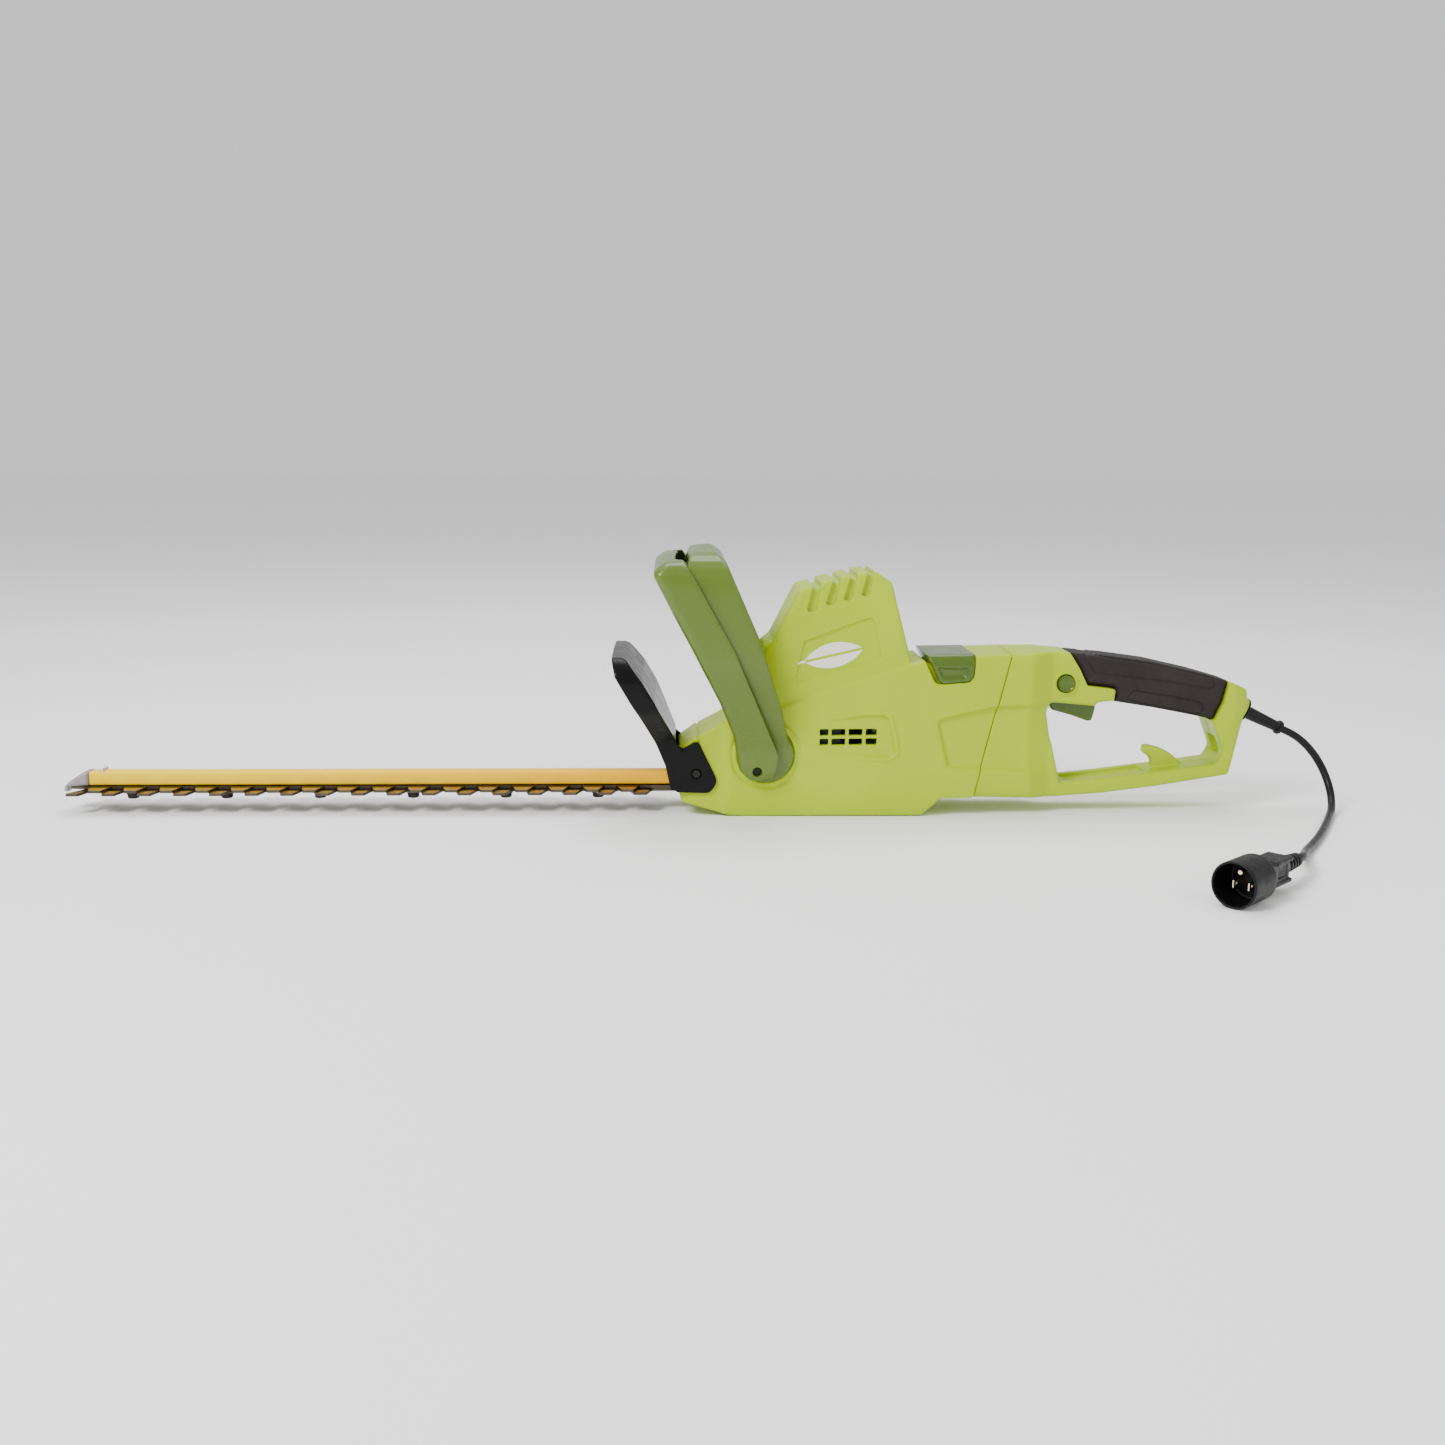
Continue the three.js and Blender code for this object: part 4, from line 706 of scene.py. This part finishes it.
def rear_field(g, lock):
    side = cut(g.side(REAR_SIDE), g.side(D_OPENING), 0)
    plan = g.plan(REAR_PLAN)
    skin = g.front([(-20, 8), (27, 8), (38, 22, 12), (39, 30), (39, 146, 10), (31, 155, 8), (-20, 155)])
    field = meet(meet(side, plan, 3.4), skin, 2.5)
    field = join(field, meet(g.side(HOOK), g.y - 5.4, 2.0), 1.5)
    collar = np.minimum(g.rod(*GLAND, GLAND_TILT, 12.4, -16, -0.2), g.rod(*GLAND, GLAND_TILT, 13.4, -16, -6))
    field = join(field, collar, 1.0)
    if lock:
        field = join(field, meet(g.disc(*LOCK, 11.6), g.y - 25.6, 1.2), 1.4)
        field = cut(field, np.maximum(g.disc(*LOCK, 8.6), 10.5 - g.y), 0.5)
        field = cut(field, np.maximum(g.disc(*LOCK, 4.3), 4 - g.y), 0.2)
    field = pressed_side_panel(g, field)
    # the grip's bed, the trigger's slot, the cord slot and a groove along the lower bar
    field = cut(field, g.side(GRIP_SIDE) - 0.25, 0.5)
    field = cut(field, np.maximum(g.side([(365.5, 70), (417.5, 70), (418, 121), (362, 117)]), g.y - 8.6), 0.5)
    field = cut(field, g.block(393, 408, -9, 5, 108, 126), 0.5)
    field = cut(field, g.block(505, 570, -20, 10, 54.2, 70.4), 1.2)
    trough = g.side([(385, 25), (462, 34.5), (462, 80), (385, 80)])
    field = cut(field, meet(trough, g.y - 14, 1), 1.0)
    field = meet(field, 0.2 - past_split(g), 0.7)
    return meet(field, SEAM - g.y, 0.5)


def make_rear_handle():
    g = Grid((288, -1.2, 10), (562, 42, 156), 0.8)
    left = g.skin("rear_shell_left", rear_field(g, lock=True), mirrored=True, adapt=0.02)
    field = rear_field(g, lock=False)
    for x, z in HANDLE_JOINT_SCREWS:
        field = cut(field, np.maximum(g.disc(x, z, 4.1), 15 - g.y), 0.5)
    right = g.skin("rear_shell_right", field, adapt=0.02)
    dress(left, "rear_handle", lime, "rear_housing", "rear_handle_left")
    dress(right, "rear_handle", lime, "rear_housing", "rear_handle_right")


GRIP_PANELS = [
    [(395, 151.5, 3), (407.2, 133.2, 5), (421.5, 131), (470, 125.4), (517.5, 117.6, 3), (521.3, 120.6, 3),
     (521, 127.3, 3),
     (503, 131.5), (461, 141), (419, 147)],
    [(438.5, 107.8, 3), (445.2, 116, 4), (480, 110.6), (509.5, 104.4, 4), (512.4, 99, 4), (509, 93, 4),
     (480, 99), (458, 102.6)],
]


def make_grip():
    g = Grid((379, -23.6, 84), (538, 23.6, 155), 0.7)
    section = g.front([(-21.5, 84), (21.5, 84), (21.5, 156), (-21.5, 156)])
    field = meet(meet(g.side(GRIP_SIDE), section, 7.0), g.side(GRIP_SIDE), 1.0)
    field = press(field, g.side([(400, 112), (540, 90), (540, 101), (470, 116), (400, 121)]), 0.7, 10)
    for panel in GRIP_PANELS:
        line = np.abs(g.side(panel)) - 0.55
        field = cut(field, np.maximum(line, -(field + 0.9)), 0.25)
    field = cut(field, g.block(388, 421, -9, 9, 100, 131), 0.5)
    piece = g.skin("grip_cover", field, adapt=0.01)
    dress(piece, "rear_handle", grip_skin, "grip", "grip")


def make_latch():
    g = Grid((243, -43, 108), (318, 43, 156), 0.7)
    skin = g.front([(-41.2, 100), (41.2, 100), (41.2, 145, 9), (34, 153.2, 6), (-34, 153.2, 6),
                    (-41.2, 145, 9)])
    field = meet(g.side(LATCH_SIDE), skin, 1.6)
    core = g.front([(-31.8, 100), (31.8, 100), (31.8, 137, 5), (25, 141.6, 4), (-25, 141.6, 4),
                    (-31.8, 137, 5)])
    field = cut(field, core, 0.5)
    scoop = g.side([(256.4, 141, 3), (261.5, 130.5, 3), (281.5, 131.5, 3), (286, 141, 3), (279, 139.2),
                    (262.5, 139.6)])
    field = press(field, np.maximum(scoop, 30 - np.abs(g.y)), 2.2, 3.0)
    tongue = g.block(268.5, split_x(112.5) + 1.9, -5, 5, 110.2, 114.8)
    post = g.block(268.5, 275.5, -5, 5, 110.2, 143)
    field = join(field, np.minimum(tongue, post), 0.5)
    piece = g.skin("latch_saddle", field, adapt=0.01)
    dress(piece, "latch", leafy, "latch", "latch")


def make_trigger():
    g = Grid((364, -12.5, 80), (418, 12.5, 118), 0.55)
    shape = g.side([(368.4, 102, 3), (371.6, 95.2, 5), (390, 90.2, 30), (405.5, 84.6, 3),
                    (410.3, 84.8, 2.5), (413.6, 98, 20),
                    (411, 113, 3), (374, 114.4, 5), (368.6, 109, 4)])
    field = meet(shape, np.abs(g.y) - 7.4, 2.6)
    field = np.minimum(field, meet(g.disc(374, 109, 2.5), np.abs(g.y) - 11, 0.4))
    piece = g.skin("trigger_lever", field)
    dress(piece, "trigger", leafy, "trigger", "trigger")


def make_lock_button():
    profile = [(0, -2.6), (4, -2.8), (6.2, -3.2), (6.9, -3.9), (7.3, -4.1), (7.75, -3.4), (7.75, 9.5),
               (3.5, 9.5), (3.5, 15), (0, 15)]
    piece = lathe("lock_button_cap", profile, (LOCK[0], -24, LOCK[1]), (0, 1, 0), 48)
    dress(piece, "lock_button", leafy, "lock_button", "lock_button")


# ---------------------------------------------------------------- front handle and switch lever
HANDLE_FRONT = [
    (-5, 229, 8), (13, 194, 60), (32.4, 158), (55.4, 112), (68, 80, 30), (74, 47, 13), (86, 34.6, 14),
    (106, 40, 14),
    (140, 60), (140, 252), (24, 246.5), (6, 242.5, 10),
]
HANDLE_BACK = [
    (-30, 20), (86, 20), (106, 40, 14), (110.4, 60, 10), (95.4, 95.6), (69.3, 158.7), (34.9, 221),
    (19.5, 245.6, 4),
    (10, 262), (-30, 262),
]
LEVER_SIDE = [
    (25, 232, 4), (40, 200), (58, 158), (82, 100), (84, 62), (100, 42), (118, 50, 14), (119.5, 72, 14),
    (112.8, 101, 30),
    (91, 169.5), (61, 238, 8), (46.5, 252.8, 7), (30, 247, 7),
]
LOOP_HALF = 86
HANDLE_FOOT = 46
HANDLE_SCREW = (90.5, 46)


def loop_front(g, foot, top, inner_foot, inner_top, height, low, corner):
    """The loop seen from the front, on |Y|: outline of its outside less its inside."""
    outer = [(-foot, -20), (foot, -20), (foot, 66, 25), (top, 146, 60), (top, height - 6, corner),
             (0, height + 1.5, 60),
             (-top, height - 6, corner), (-top, 146, 60), (-foot, 66, 25)]
    inner = [(-inner_foot, -30), (inner_foot, -30), (inner_foot, 68, 25), (inner_top, 148, 60),
             (inner_top, low, corner * 0.75),
             (-inner_top, low, corner * 0.75), (-inner_top, 148, 60), (-inner_foot, 68, 25)]
    return g.front(outer), g.front(inner)


def lever_field(g, grow, swing, rounding):
    """The lever's loop, swung about its hub and grown all round."""
    outer, inner = loop_front(g, HANDLE_FOOT - 0.3, LOOP_HALF - 5.2, 42.8, LOOP_HALF - 15, 249.5, 236, 33)
    if swing:
        outer, inner = (g.swung_front(seen, HUB, swing) for seen in (outer, inner))
    side = g.swung_side(LEVER_SIDE, HUB, swing)
    return meet(meet(side, outer, rounding), -inner, rounding) - grow


def make_front_handle():
    g = Grid((-10, -89, 30), (124, 89, 258), 0.95)
    outer, inner = loop_front(g, HANDLE_FOOT + 10, LOOP_HALF, HANDLE_FOOT, LOOP_HALF - 19, 245, 222, 19)
    blank = meet(meet(g.side(HANDLE_FRONT), outer, 7.5), -inner, 4.0)
    blank = meet(blank, g.side(HANDLE_BACK), 1.0)
    sweep = np.minimum.reduce([lever_field(g, 0.8, a, 1.0) for a in (0, 1.1, 2.2, 3.3, 4.4)])
    field = cut(blank, sweep, 0.7)
    # pivot bosses, the screw's pad and its recess
    y = np.abs(g.y)
    hub = np.hypot(g.x - HUB[0], g.z - HUB[1])
    field = np.minimum(field, np.maximum(hub - 8, np.maximum(40.4 - y, y - 48)))
    pad = np.hypot(g.x - HANDLE_SCREW[0], g.z - HANDLE_SCREW[1])
    field = np.minimum(field, np.maximum(pad - 5, np.maximum(40.4 - y, y - 48)))
    field = cut(field, np.maximum(pad - 4.4, 50.5 - y), 0.7)
    notch = np.maximum(np.abs((g.x - 33) * 0.88 - (g.z - 158) * 0.47 - 22) - 0.5, np.abs(g.z - 171) - 1.2)
    field = cut(field, np.maximum(notch, -(field + 0.8)), 0.1)
    piece = g.skin("front_handle_loop", field, adapt=0.01)
    dress(piece, "motor_body", olive, "front_handle", "front_handle")


def make_switch_lever():
    g = Grid((14, -86, 28), (124, 86, 258), 0.95)
    y = np.abs(g.y)
    hub = np.hypot(g.x - HUB[0], g.z - HUB[1])
    field = lever_field(g, 0, 0, 2.2)
    field = join(field, meet(hub - 25.6, np.maximum(40.4 - y, y - 45.6), 0.8), 1.0)
    field = cut(field, hub - 8.5, 0.4)
    field = cut(field, np.hypot(g.x - HANDLE_SCREW[0], g.z - HANDLE_SCREW[1]) - 6.8, 0.4)
    piece = g.skin("switch_lever_loop", field, adapt=0.01)
    dress(piece, "switch_lever", olive, "switch_lever", "switch_lever")


# ---------------------------------------------------------------- hand guard
GUARD_REAR = [(16.6, 60), (16, 73.5), (7, 92.6), (-2.7, 113), (-14.3, 132.6), (-27.6, 149.5), (-36, 156.5)]
GUARD_FRONT = [(-43, 156.5), (-38.5, 137), (-17.5, 101), (-2, 68.6), (6.5, 48), (11.5, 25)]
EAR_SIDE = [(15.5, 26), (17, 23.4, 1), (47.4, 22.6, 8), (55, 33.5, 10), (36.8, 71, 3), (33, 70.8, 2),
            (22.3, 64.6, 3), (15.5, 70)]
GUARD_SCREW = (35.0, 41.0)


def guard_half():
    g = Grid((-48, -1.5, 20), (58, 83, 164), 0.8)
    band = g.side([*GUARD_REAR, *GUARD_FRONT, (16.6, 25)])
    outline = g.front([(-20, 20), (39.4, 20), (39.4, 70, 12), (79.6, 108, 22), (79.4, 138, 18),
                       (66, 152.5, 18), (-20, 154)])
    skin = meet(band, outline, 1.6)
    back = g.side([(x - 3.0, z - 0.8) for x, z in GUARD_REAR] + [(-90, 158), (-90, 20), (13.4, 25)])
    hollow = np.maximum(np.maximum(back, outline + 3.0), 74 - g.z)
    field = cut(skin, hollow, 0.9)
    # stiffening ribs behind the shield
    ribs = np.maximum(np.abs(g.y - 26) - 1.1, np.maximum(band + 1.2, outline + 2))
    field = join(field, ribs + np.clip(80 - g.z, 0, 4), 1.0)
    ear = meet(g.side(EAR_SIDE), np.maximum(36.3 - g.y, g.y - 39.4), 0.8)
    field = join(field, ear, 1.2)
    field = cut(field, g.block(-12, 18.3, -9, 15.2, 10, 40.4), 0.8)
    field = cut(field, g.block(18.4, 80, -9, 36.3, 0, 100), 0.2)
    field = cut(field, np.maximum(g.disc(*GUARD_SCREW, 4.4), 38.2 - g.y), 0.4)
    return g, field


def make_guard():
    g, half = guard_half()
    whole_grid, field = g.both_sides(half)
    piece = whole_grid.skin("hand_guard_shield", field, adapt=0.01)
    dress(piece, "motor_body", guard_black, "guard", "hand_guard")


# ---------------------------------------------------------------- blades, bar, bolts and tip
TOOTH_PITCH = 32.7
TEETH = 17
LAST_TOOTH_X = -23.0
FIRST_TOOTH_X = LAST_TOOTH_X - (TEETH - 1) * TOOTH_PITCH
THROW = 6.0
BOLTS = [-57.5 - 87.2 * i for i in range(6)]
CRANK_X = 118.0


def rounded_box(x, y, half_x, half_y, r):
    return [(x - half_x, y - half_y, r), (x + half_x, y - half_y, r), (x + half_x, y + half_y, r),
            (x - half_x, y + half_y, r)]


def make_blade(name, first, z, shift):
    """One blade: parallel strip, teeth on both edges, bolt slots and the crank's window."""
    edge = [(FIRST_TOOTH_X + 5, 9)]
    for i in range(first, TEETH):
        x = FIRST_TOOTH_X + i * TOOTH_PITCH
        if i:
            edge.append((x - 10.5, 11, 3))
        edge += [(x - 6.2, 26.6, 1), (x - 5.2, 28), (x + 5.4, 28), (x + 6.2, 26.6, 1), (x + 10.5, 11, 3)]
    edge += [(81.5, 11), (85.5, 24.5, 4), (149.5, 24.5, 4)]
    outline = [(x, -y, *r) for x, y, *r in edge] + edge[::-1]
    holes = [rounded_box(CRANK_X, 0, 24.5, 18.5, 6)]
    holes += [rounded_box(x, 0, 4.3 + THROW, 4.3, 4.2) for x in BOLTS]
    shifted = [[(p[0] + shift, *p[1:]) for p in points] for points in (outline, *holes)]
    piece = slab(name + "_plate", shifted[0], z, z + 2.6, shifted[1:], bevel=0.35)
    dress(piece, name, blade_face, "blades", name)
    piece.data.materials.append(edge_steel)
    for face in piece.data.polygons:
        if abs(face.normal.z) < 0.5:
            face.material_index = 1


def make_bar():
    g = Grid((-535, -9.6, 22.4), (62, 9.6, 39), 0.75)
    field = meet(g.band("x", -531, 60), meet(np.abs(g.y) - 8, g.band("z", 24.5, 37.3), 1.7), 0.6)
    piece = g.skin("blade_bar_rail", field, adapt=0.02)
    dress(piece, "motor_body", yellow, "blade_bar", "blade_bar")


def make_bolts():
    washer = [(0, 18.3), (8.0, 18.3), (8.3, 17.6), (7.9, 16.9), (6.6, 16.2), (0, 16.0)]
    head = [(0, 11.0), (4.6, 11.1), (5.4, 11.8), (5.5, 14.8), (6.4, 15.2), (6.5, 16.3), (0, 16.3)]
    for i, x in enumerate(reversed(BOLTS)):
        node = f"blade_bolt_{i + 1}"
        piece = lathe(node + "_head", head, (x, 0, 0), (0, 0, 1), 28)
        dress(piece, "motor_body", bolt_black, "blade_bolts", node)
        ring = lathe(node + "_washer", washer, (x, 0, 0), (0, 0, 1), 36)
        dress(ring, "motor_body", washer_steel, "blade_bolts")


def make_tip():
    g = Grid((-560, -15, 16), (-514, 15, 40), 0.45)
    shape = g.side([(-556.3, 21.2, 3), (-554.5, 18.5, 2), (-550.6, 18.6, 1), (-549.8, 24.6, 1),
                    (-531.3, 24.6), (-531.3, 37.5, 1),
                    (-537, 36.6, 6), (-550.5, 27.5, 12)])
    plan = g.plan([(-556.5, -7, 5), (-546, -12.8, 8), (-528, -10), (-528, 10), (-546, 12.8, 8),
                   (-556.5, 7, 5)])
    field = meet(shape, plan, 2.6)
    field = join(field, meet(g.block(-534, -519, -5, 5, 25.6, 34), g.band("y", -5, 5), 0.4), 0.3)
    piece = g.skin("tip_guard_cap", field)
    dress(piece, "motor_body", tip_grey, "tip_guard", "tip_guard")
    for i, y in enumerate((-4.5, 4.5)):
        node = f"tip_screw_{i + 1}"
        profile = [(0, 36), (2.1, 36), (2.1, 39.2), (1.7, 39.8), (0.9, 39.9), (0.8, 39.0), (0, 39.0)]
        dress(lathe(node + "_end", profile, (-519, y, 0), (0, 0, 1), 20), "motor_body", screw_steel,
              "small_screws", node)


# ---------------------------------------------------------------- screws seen from outside
def cross_screw(name, node, at, axis, r, material, body, slot):
    """A pan head with a cross recess."""
    made = lathe(name, [(0, -8), (r * 0.5, -8), (r * 0.55, -1.6), (r, -1.6), (r, -0.5), (r * 0.86, 0),
                        (r * 0.2, 0.25), (0, 0.25)],
                 at, axis, 40)
    axis = Vector(axis).normalized()
    side = axis.orthogonal().normalized()
    other = axis.cross(side)
    for along, across in ((side, other), (other, side)):
        cutter_mesh = bpy.data.meshes.new("cutter")
        cutter = bpy.data.objects.new("cutter", cutter_mesh)
        SCENE.collection.objects.link(cutter)
        work = bmesh.new()
        bmesh.ops.create_cube(work, size=1)
        matrix = Matrix((along * r * 1.1 * MM, across * r * 0.24 * MM, axis * 1.8 * MM)).transposed().to_4x4()
        matrix.translation = row(*at) + axis * 0.1 * MM
        work.transform(matrix)
        bmesh.ops.recalc_face_normals(work, faces=work.faces)
        work.to_mesh(cutter_mesh)
        work.free()
        modifier = made.modifiers.new("recess", "BOOLEAN")
        modifier.operation = "DIFFERENCE"
        modifier.solver = "EXACT"
        modifier.object = cutter
        bpy.context.view_layer.update()
        mesh = bpy.data.meshes.new_from_object(made.evaluated_get(bpy.context.evaluated_depsgraph_get()))
        made.modifiers.clear()
        made.data = mesh
        bpy.data.objects.remove(cutter)
    made.name = name
    made.data.set_sharp_from_angle(angle=math.radians(30))
    dress(made, body, material, slot, node)


def make_screws():
    for side, name in ((-1, "left"), (1, "right")):
        out = (0, side, 0)
        guard_at = (GUARD_SCREW[0], side * 40.3, GUARD_SCREW[1])
        handle_at = (HANDLE_SCREW[0], side * 51.6, HANDLE_SCREW[1])
        node = f"guard_screw_{name}"
        cross_screw(f"{node}_head", node, guard_at, out, 3.7, bolt_black, "motor_body", "dark_screws")
        node = f"handle_screw_{name}"
        cross_screw(f"{node}_head", node, handle_at, out, 3.6, bolt_black, "motor_body", "dark_screws")
    for index, (x, z) in enumerate(HOUSING_SCREWS):
        node = f"housing_screw_{index + 1}"
        cross_screw(f"{node}_head", node, (x, 36, z), (0, 1, 0), 3.6, screw_steel, "motor_body", "screws")


# ---------------------------------------------------------------- strain relief, gland and plug
def make_strain_relief():
    tilt = GLAND_TILT
    axis = (math.cos(tilt), 0, -math.sin(tilt))
    at = (GLAND[0], 0, GLAND[1])
    profile = [(3.8, -12), (6, -12), (6, 0.3), (7.1, 0.3), (7.3, 1.2), (6.9, 2.2), (6.4, 4), (6.0, 14),
               (5.5, 25), (5.1, 35), (5.0, 37.0),
               (5.6, 37.6), (6.5, 38.0), (6.9, 38.9), (6.8, 40.6), (6.2, 42.1), (5.0, 42.9), (3.9, 43)]
    relief = lathe("strain_relief_boot", profile, at, axis, 40)
    dress(relief, "rear_handle", cable, "strain_relief", "strain_relief")
    ring = lathe("cord_gland_ring", [(7.7, 0.2), (11.6, 0.2), (12.1, 0.7), (12.0, 1.7), (11.2, 2.3),
                                     (7.9, 2.3), (7.6, 1.8), (7.7, 0.2)], at, axis, 56)
    dress(ring, "rear_handle", cable, "cord_gland", "cord_gland")
    return relief


PLUG_LENGTH = 106.0
SHROUD_LENGTH = 34.0


def make_plug():
    tail = Vector(CORD_ROUTE[-1])
    aim = Vector((math.sin(PLUG_AIM), math.cos(PLUG_AIM), 0))
    across = Vector((math.cos(PLUG_AIM), -math.sin(PLUG_AIM), 0))
    start = tail - aim * 0.5

    def place(points):
        """From (along the plug from its mouth, across it, up) to the drawing."""
        along = points[:, 0:1] - PLUG_LENGTH
        found = np.array(start)[None] + along * np.array(aim)[None] + points[:, 1:2] * np.array(across)[None]
        found[:, 2] += points[:, 2]
        return found - (SHIFT_X, 0, 0)

    g = Grid((-2, -20, -20), (PLUG_LENGTH + 2, 20, 20), 0.6)
    r = np.hypot(g.y, g.z)
    shroud = meet(r - PLUG_R, g.band("x", 0, SHROUD_LENGTH), 1.3)
    neck_half = np.clip(11.5 - (g.x - SHROUD_LENGTH) * 0.09, 6, 12)
    neck = np.maximum(np.abs(g.y) - neck_half, np.abs(g.z) - neck_half * 0.82)
    neck = meet(neck, g.band("x", SHROUD_LENGTH - 2, 78), 1.6)
    wings = meet(np.maximum(np.abs(g.y) - 10.5, np.abs(np.abs(g.z) - 8.5) - 1.6), g.band("x", 50, 77), 0.8)
    body = join(join(shroud, neck, 3.0), wings, 1.0)
    waist = meet(np.maximum(np.abs(g.y) - 20, np.abs(g.z) - 4.6), g.band("x", 54, 72), 1.5)
    side_cut = np.maximum(waist, 7.6 - np.abs(g.y))
    body = cut(body, side_cut, 0.8)
    cone = r - np.clip(7.6 - (g.x - 78) * 0.07, 5.4, 9)
    boot = meet(cone, g.band("x", 76, PLUG_LENGTH), 1.0)
    for k in range(4):
        gap = np.maximum(np.abs(g.x - (82 + 5.6 * k)) - 1.3, 5.2 - 0.25 * k - r)
        boot = cut(boot, gap, 0.5)
    body = join(body, boot, 1.0)
    bore = meet(r - (PLUG_R - 2.0), g.x - (SHROUD_LENGTH - 5), 1.5)
    body = cut(body, bore, 0.8)
    body = cut(body, np.maximum(r - (CORD_R + 0.2), PLUG_LENGTH - 1.2 - g.x), 0.2)
    piece = g.skin("plug_shell", body, adapt=0.01, place=place)
    dress(piece, "rear_handle", plug_rubber, "plug", "plug_body")

    pins = []
    floor = SHROUD_LENGTH - 5
    z, length, half = -2.5, 17, 3.2
    for node, y in (("plug_blade_1", -6.3), ("plug_blade_2", 6.3)):
        pg = Grid((floor - length - 2, y - 2.5, z - 5), (floor + 3, y + 2.5, z + 5), 0.3)
        shape = meet(np.maximum(np.abs(pg.y - y) - 0.8, np.abs(pg.z - z) - half),
                     pg.band("x", floor - length, floor + 1), 0.5)
        shape = cut(shape, np.hypot(pg.x - (floor - length + 4), pg.z - z) - 1.4, 0.1)
        pins.append(dress(pg.skin(node + "_pin", shape, place=place), "rear_handle", pin_brass, "plug_pins",
                          node))
    pg = Grid((floor - 23, -4, 4.5), (floor + 3, 4, 12.5), 0.3)
    shape = meet(np.hypot(pg.y, pg.z - 8.5) - 2.4, pg.band("x", floor - 20, floor + 1), 1.4)
    pins.append(dress(pg.skin("plug_ground_pin_round", shape, place=place), "rear_handle", pin_brass,
                      "plug_pins", "plug_ground_pin"))
    return [piece, *pins]


# ---------------------------------------------------------------- printed mark: a plain leaf
def make_marks():
    """A plain leaf with a midrib, printed on each side of the hump and following its surface."""
    g = Grid((128, 30, 128), (194, 42, 176), 0.45)
    lean = math.radians(13)
    along = (g.x - 160.6) * math.cos(lean) + (g.z - 151.6) * math.sin(lean)
    across = (g.z - 151.6) * math.cos(lean) - (g.x - 160.6) * math.sin(lean)
    leaf = np.maximum(np.hypot(along, across - 29) - 40.5, np.hypot(along, across + 29) - 40.5)
    rib = np.maximum(np.abs(across) - 1.1, -1.0)
    print_zone = np.minimum(cut(leaf, rib, 0.2), np.maximum(np.abs(across) - 1.1, np.abs(along + 31.5) - 5))
    body = housing_field(g)
    layer = np.maximum(np.maximum(body - 0.28, -(body + 0.9)), print_zone)
    layer = np.maximum(layer, 33 - g.y)
    for suffix, mirrored in (("left", True), ("right", False)):
        dress(g.skin(f"leaf_mark_{suffix}", layer, mirrored=mirrored), "motor_body", print_white, "housing")


# ---------------------------------------------------------------- CAD nodes that stay, dressed by class
STAYING = {
    "gear_cover": lime, "gear_plate": plain_grey, "fan": inner_black, "front_switch": inner_black,
    "rear_switch": inner_black,
    "armature": copper, "stator": dark_steel, "swivel_ring": plain_grey, "brush_left": pin_brass,
    "brush_right": pin_brass,
}


def dress_nodes():
    for name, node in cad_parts.items():
        if node.hide_render:
            continue
        material = STAYING.get(name, screw_steel)
        node.data.materials.clear()
        node.data.materials.append(material)


# ---------------------------------------------------------------- floor and light
def make_studio():
    paint = Paint("studio_floor", 0.85)
    paint.set("Base Color", paint.blend(paint.noise(6, 2), (0.97, 0.97, 0.97), (0.985, 0.985, 0.985)))
    mesh = bpy.data.meshes.new("studio_floor")
    reach = 14.0
    mesh.from_pydata([(-reach, -reach, 0), (reach, -reach, 0), (reach, reach, 0), (-reach, reach, 0)], [],
                     [(0, 1, 2, 3)])
    mesh.materials.append(paint.material)
    floor = bpy.data.objects.new("studio_floor", mesh)
    SCENE.collection.objects.link(floor)
    world = bpy.data.worlds.new("studio_light")
    world.use_nodes = True
    back = world.node_tree.nodes["Background"]
    back.inputs["Color"].default_value = (1, 1, 1, 1)
    back.inputs["Strength"].default_value = 0.85
    SCENE.world = world
    for name, place, aim, size, power in (
        ("key", (-1.3, -1.5, 1.9), (0.05, 0, 0.1), 0.8, 66),
        ("fill", (1.8, -1.4, 1.1), (0.1, 0, 0.1), 1.6, 9),
        ("top", (0.1, 0.7, 2.2), (0.0, 0, 0.1), 1.6, 34),
    ):
        light = bpy.data.lights.new(name, "AREA")
        light.shape = "SQUARE"
        light.size = size
        light.energy = power
        lamp = bpy.data.objects.new(name, light)
        lamp.location = place
        lamp.rotation_euler = (Vector(aim) - Vector(place)).to_track_quat("-Z", "Y").to_euler()
        SCENE.collection.objects.link(lamp)


make_housing()
make_rear_handle()
make_grip()
make_latch()
make_trigger()
make_lock_button()
make_front_handle()
make_switch_lever()
make_guard()
make_blade("upper_blade", 1, 21.6, -THROW)
make_blade("lower_blade", 0, 18.7, THROW)
make_bar()
make_bolts()
make_tip()
make_screws()
relief_piece = make_strain_relief()
plug_pieces = make_plug()
make_marks()
dress(cord_lead, "rear_handle", cable, "cord", "cord")
dress_nodes()
make_studio()
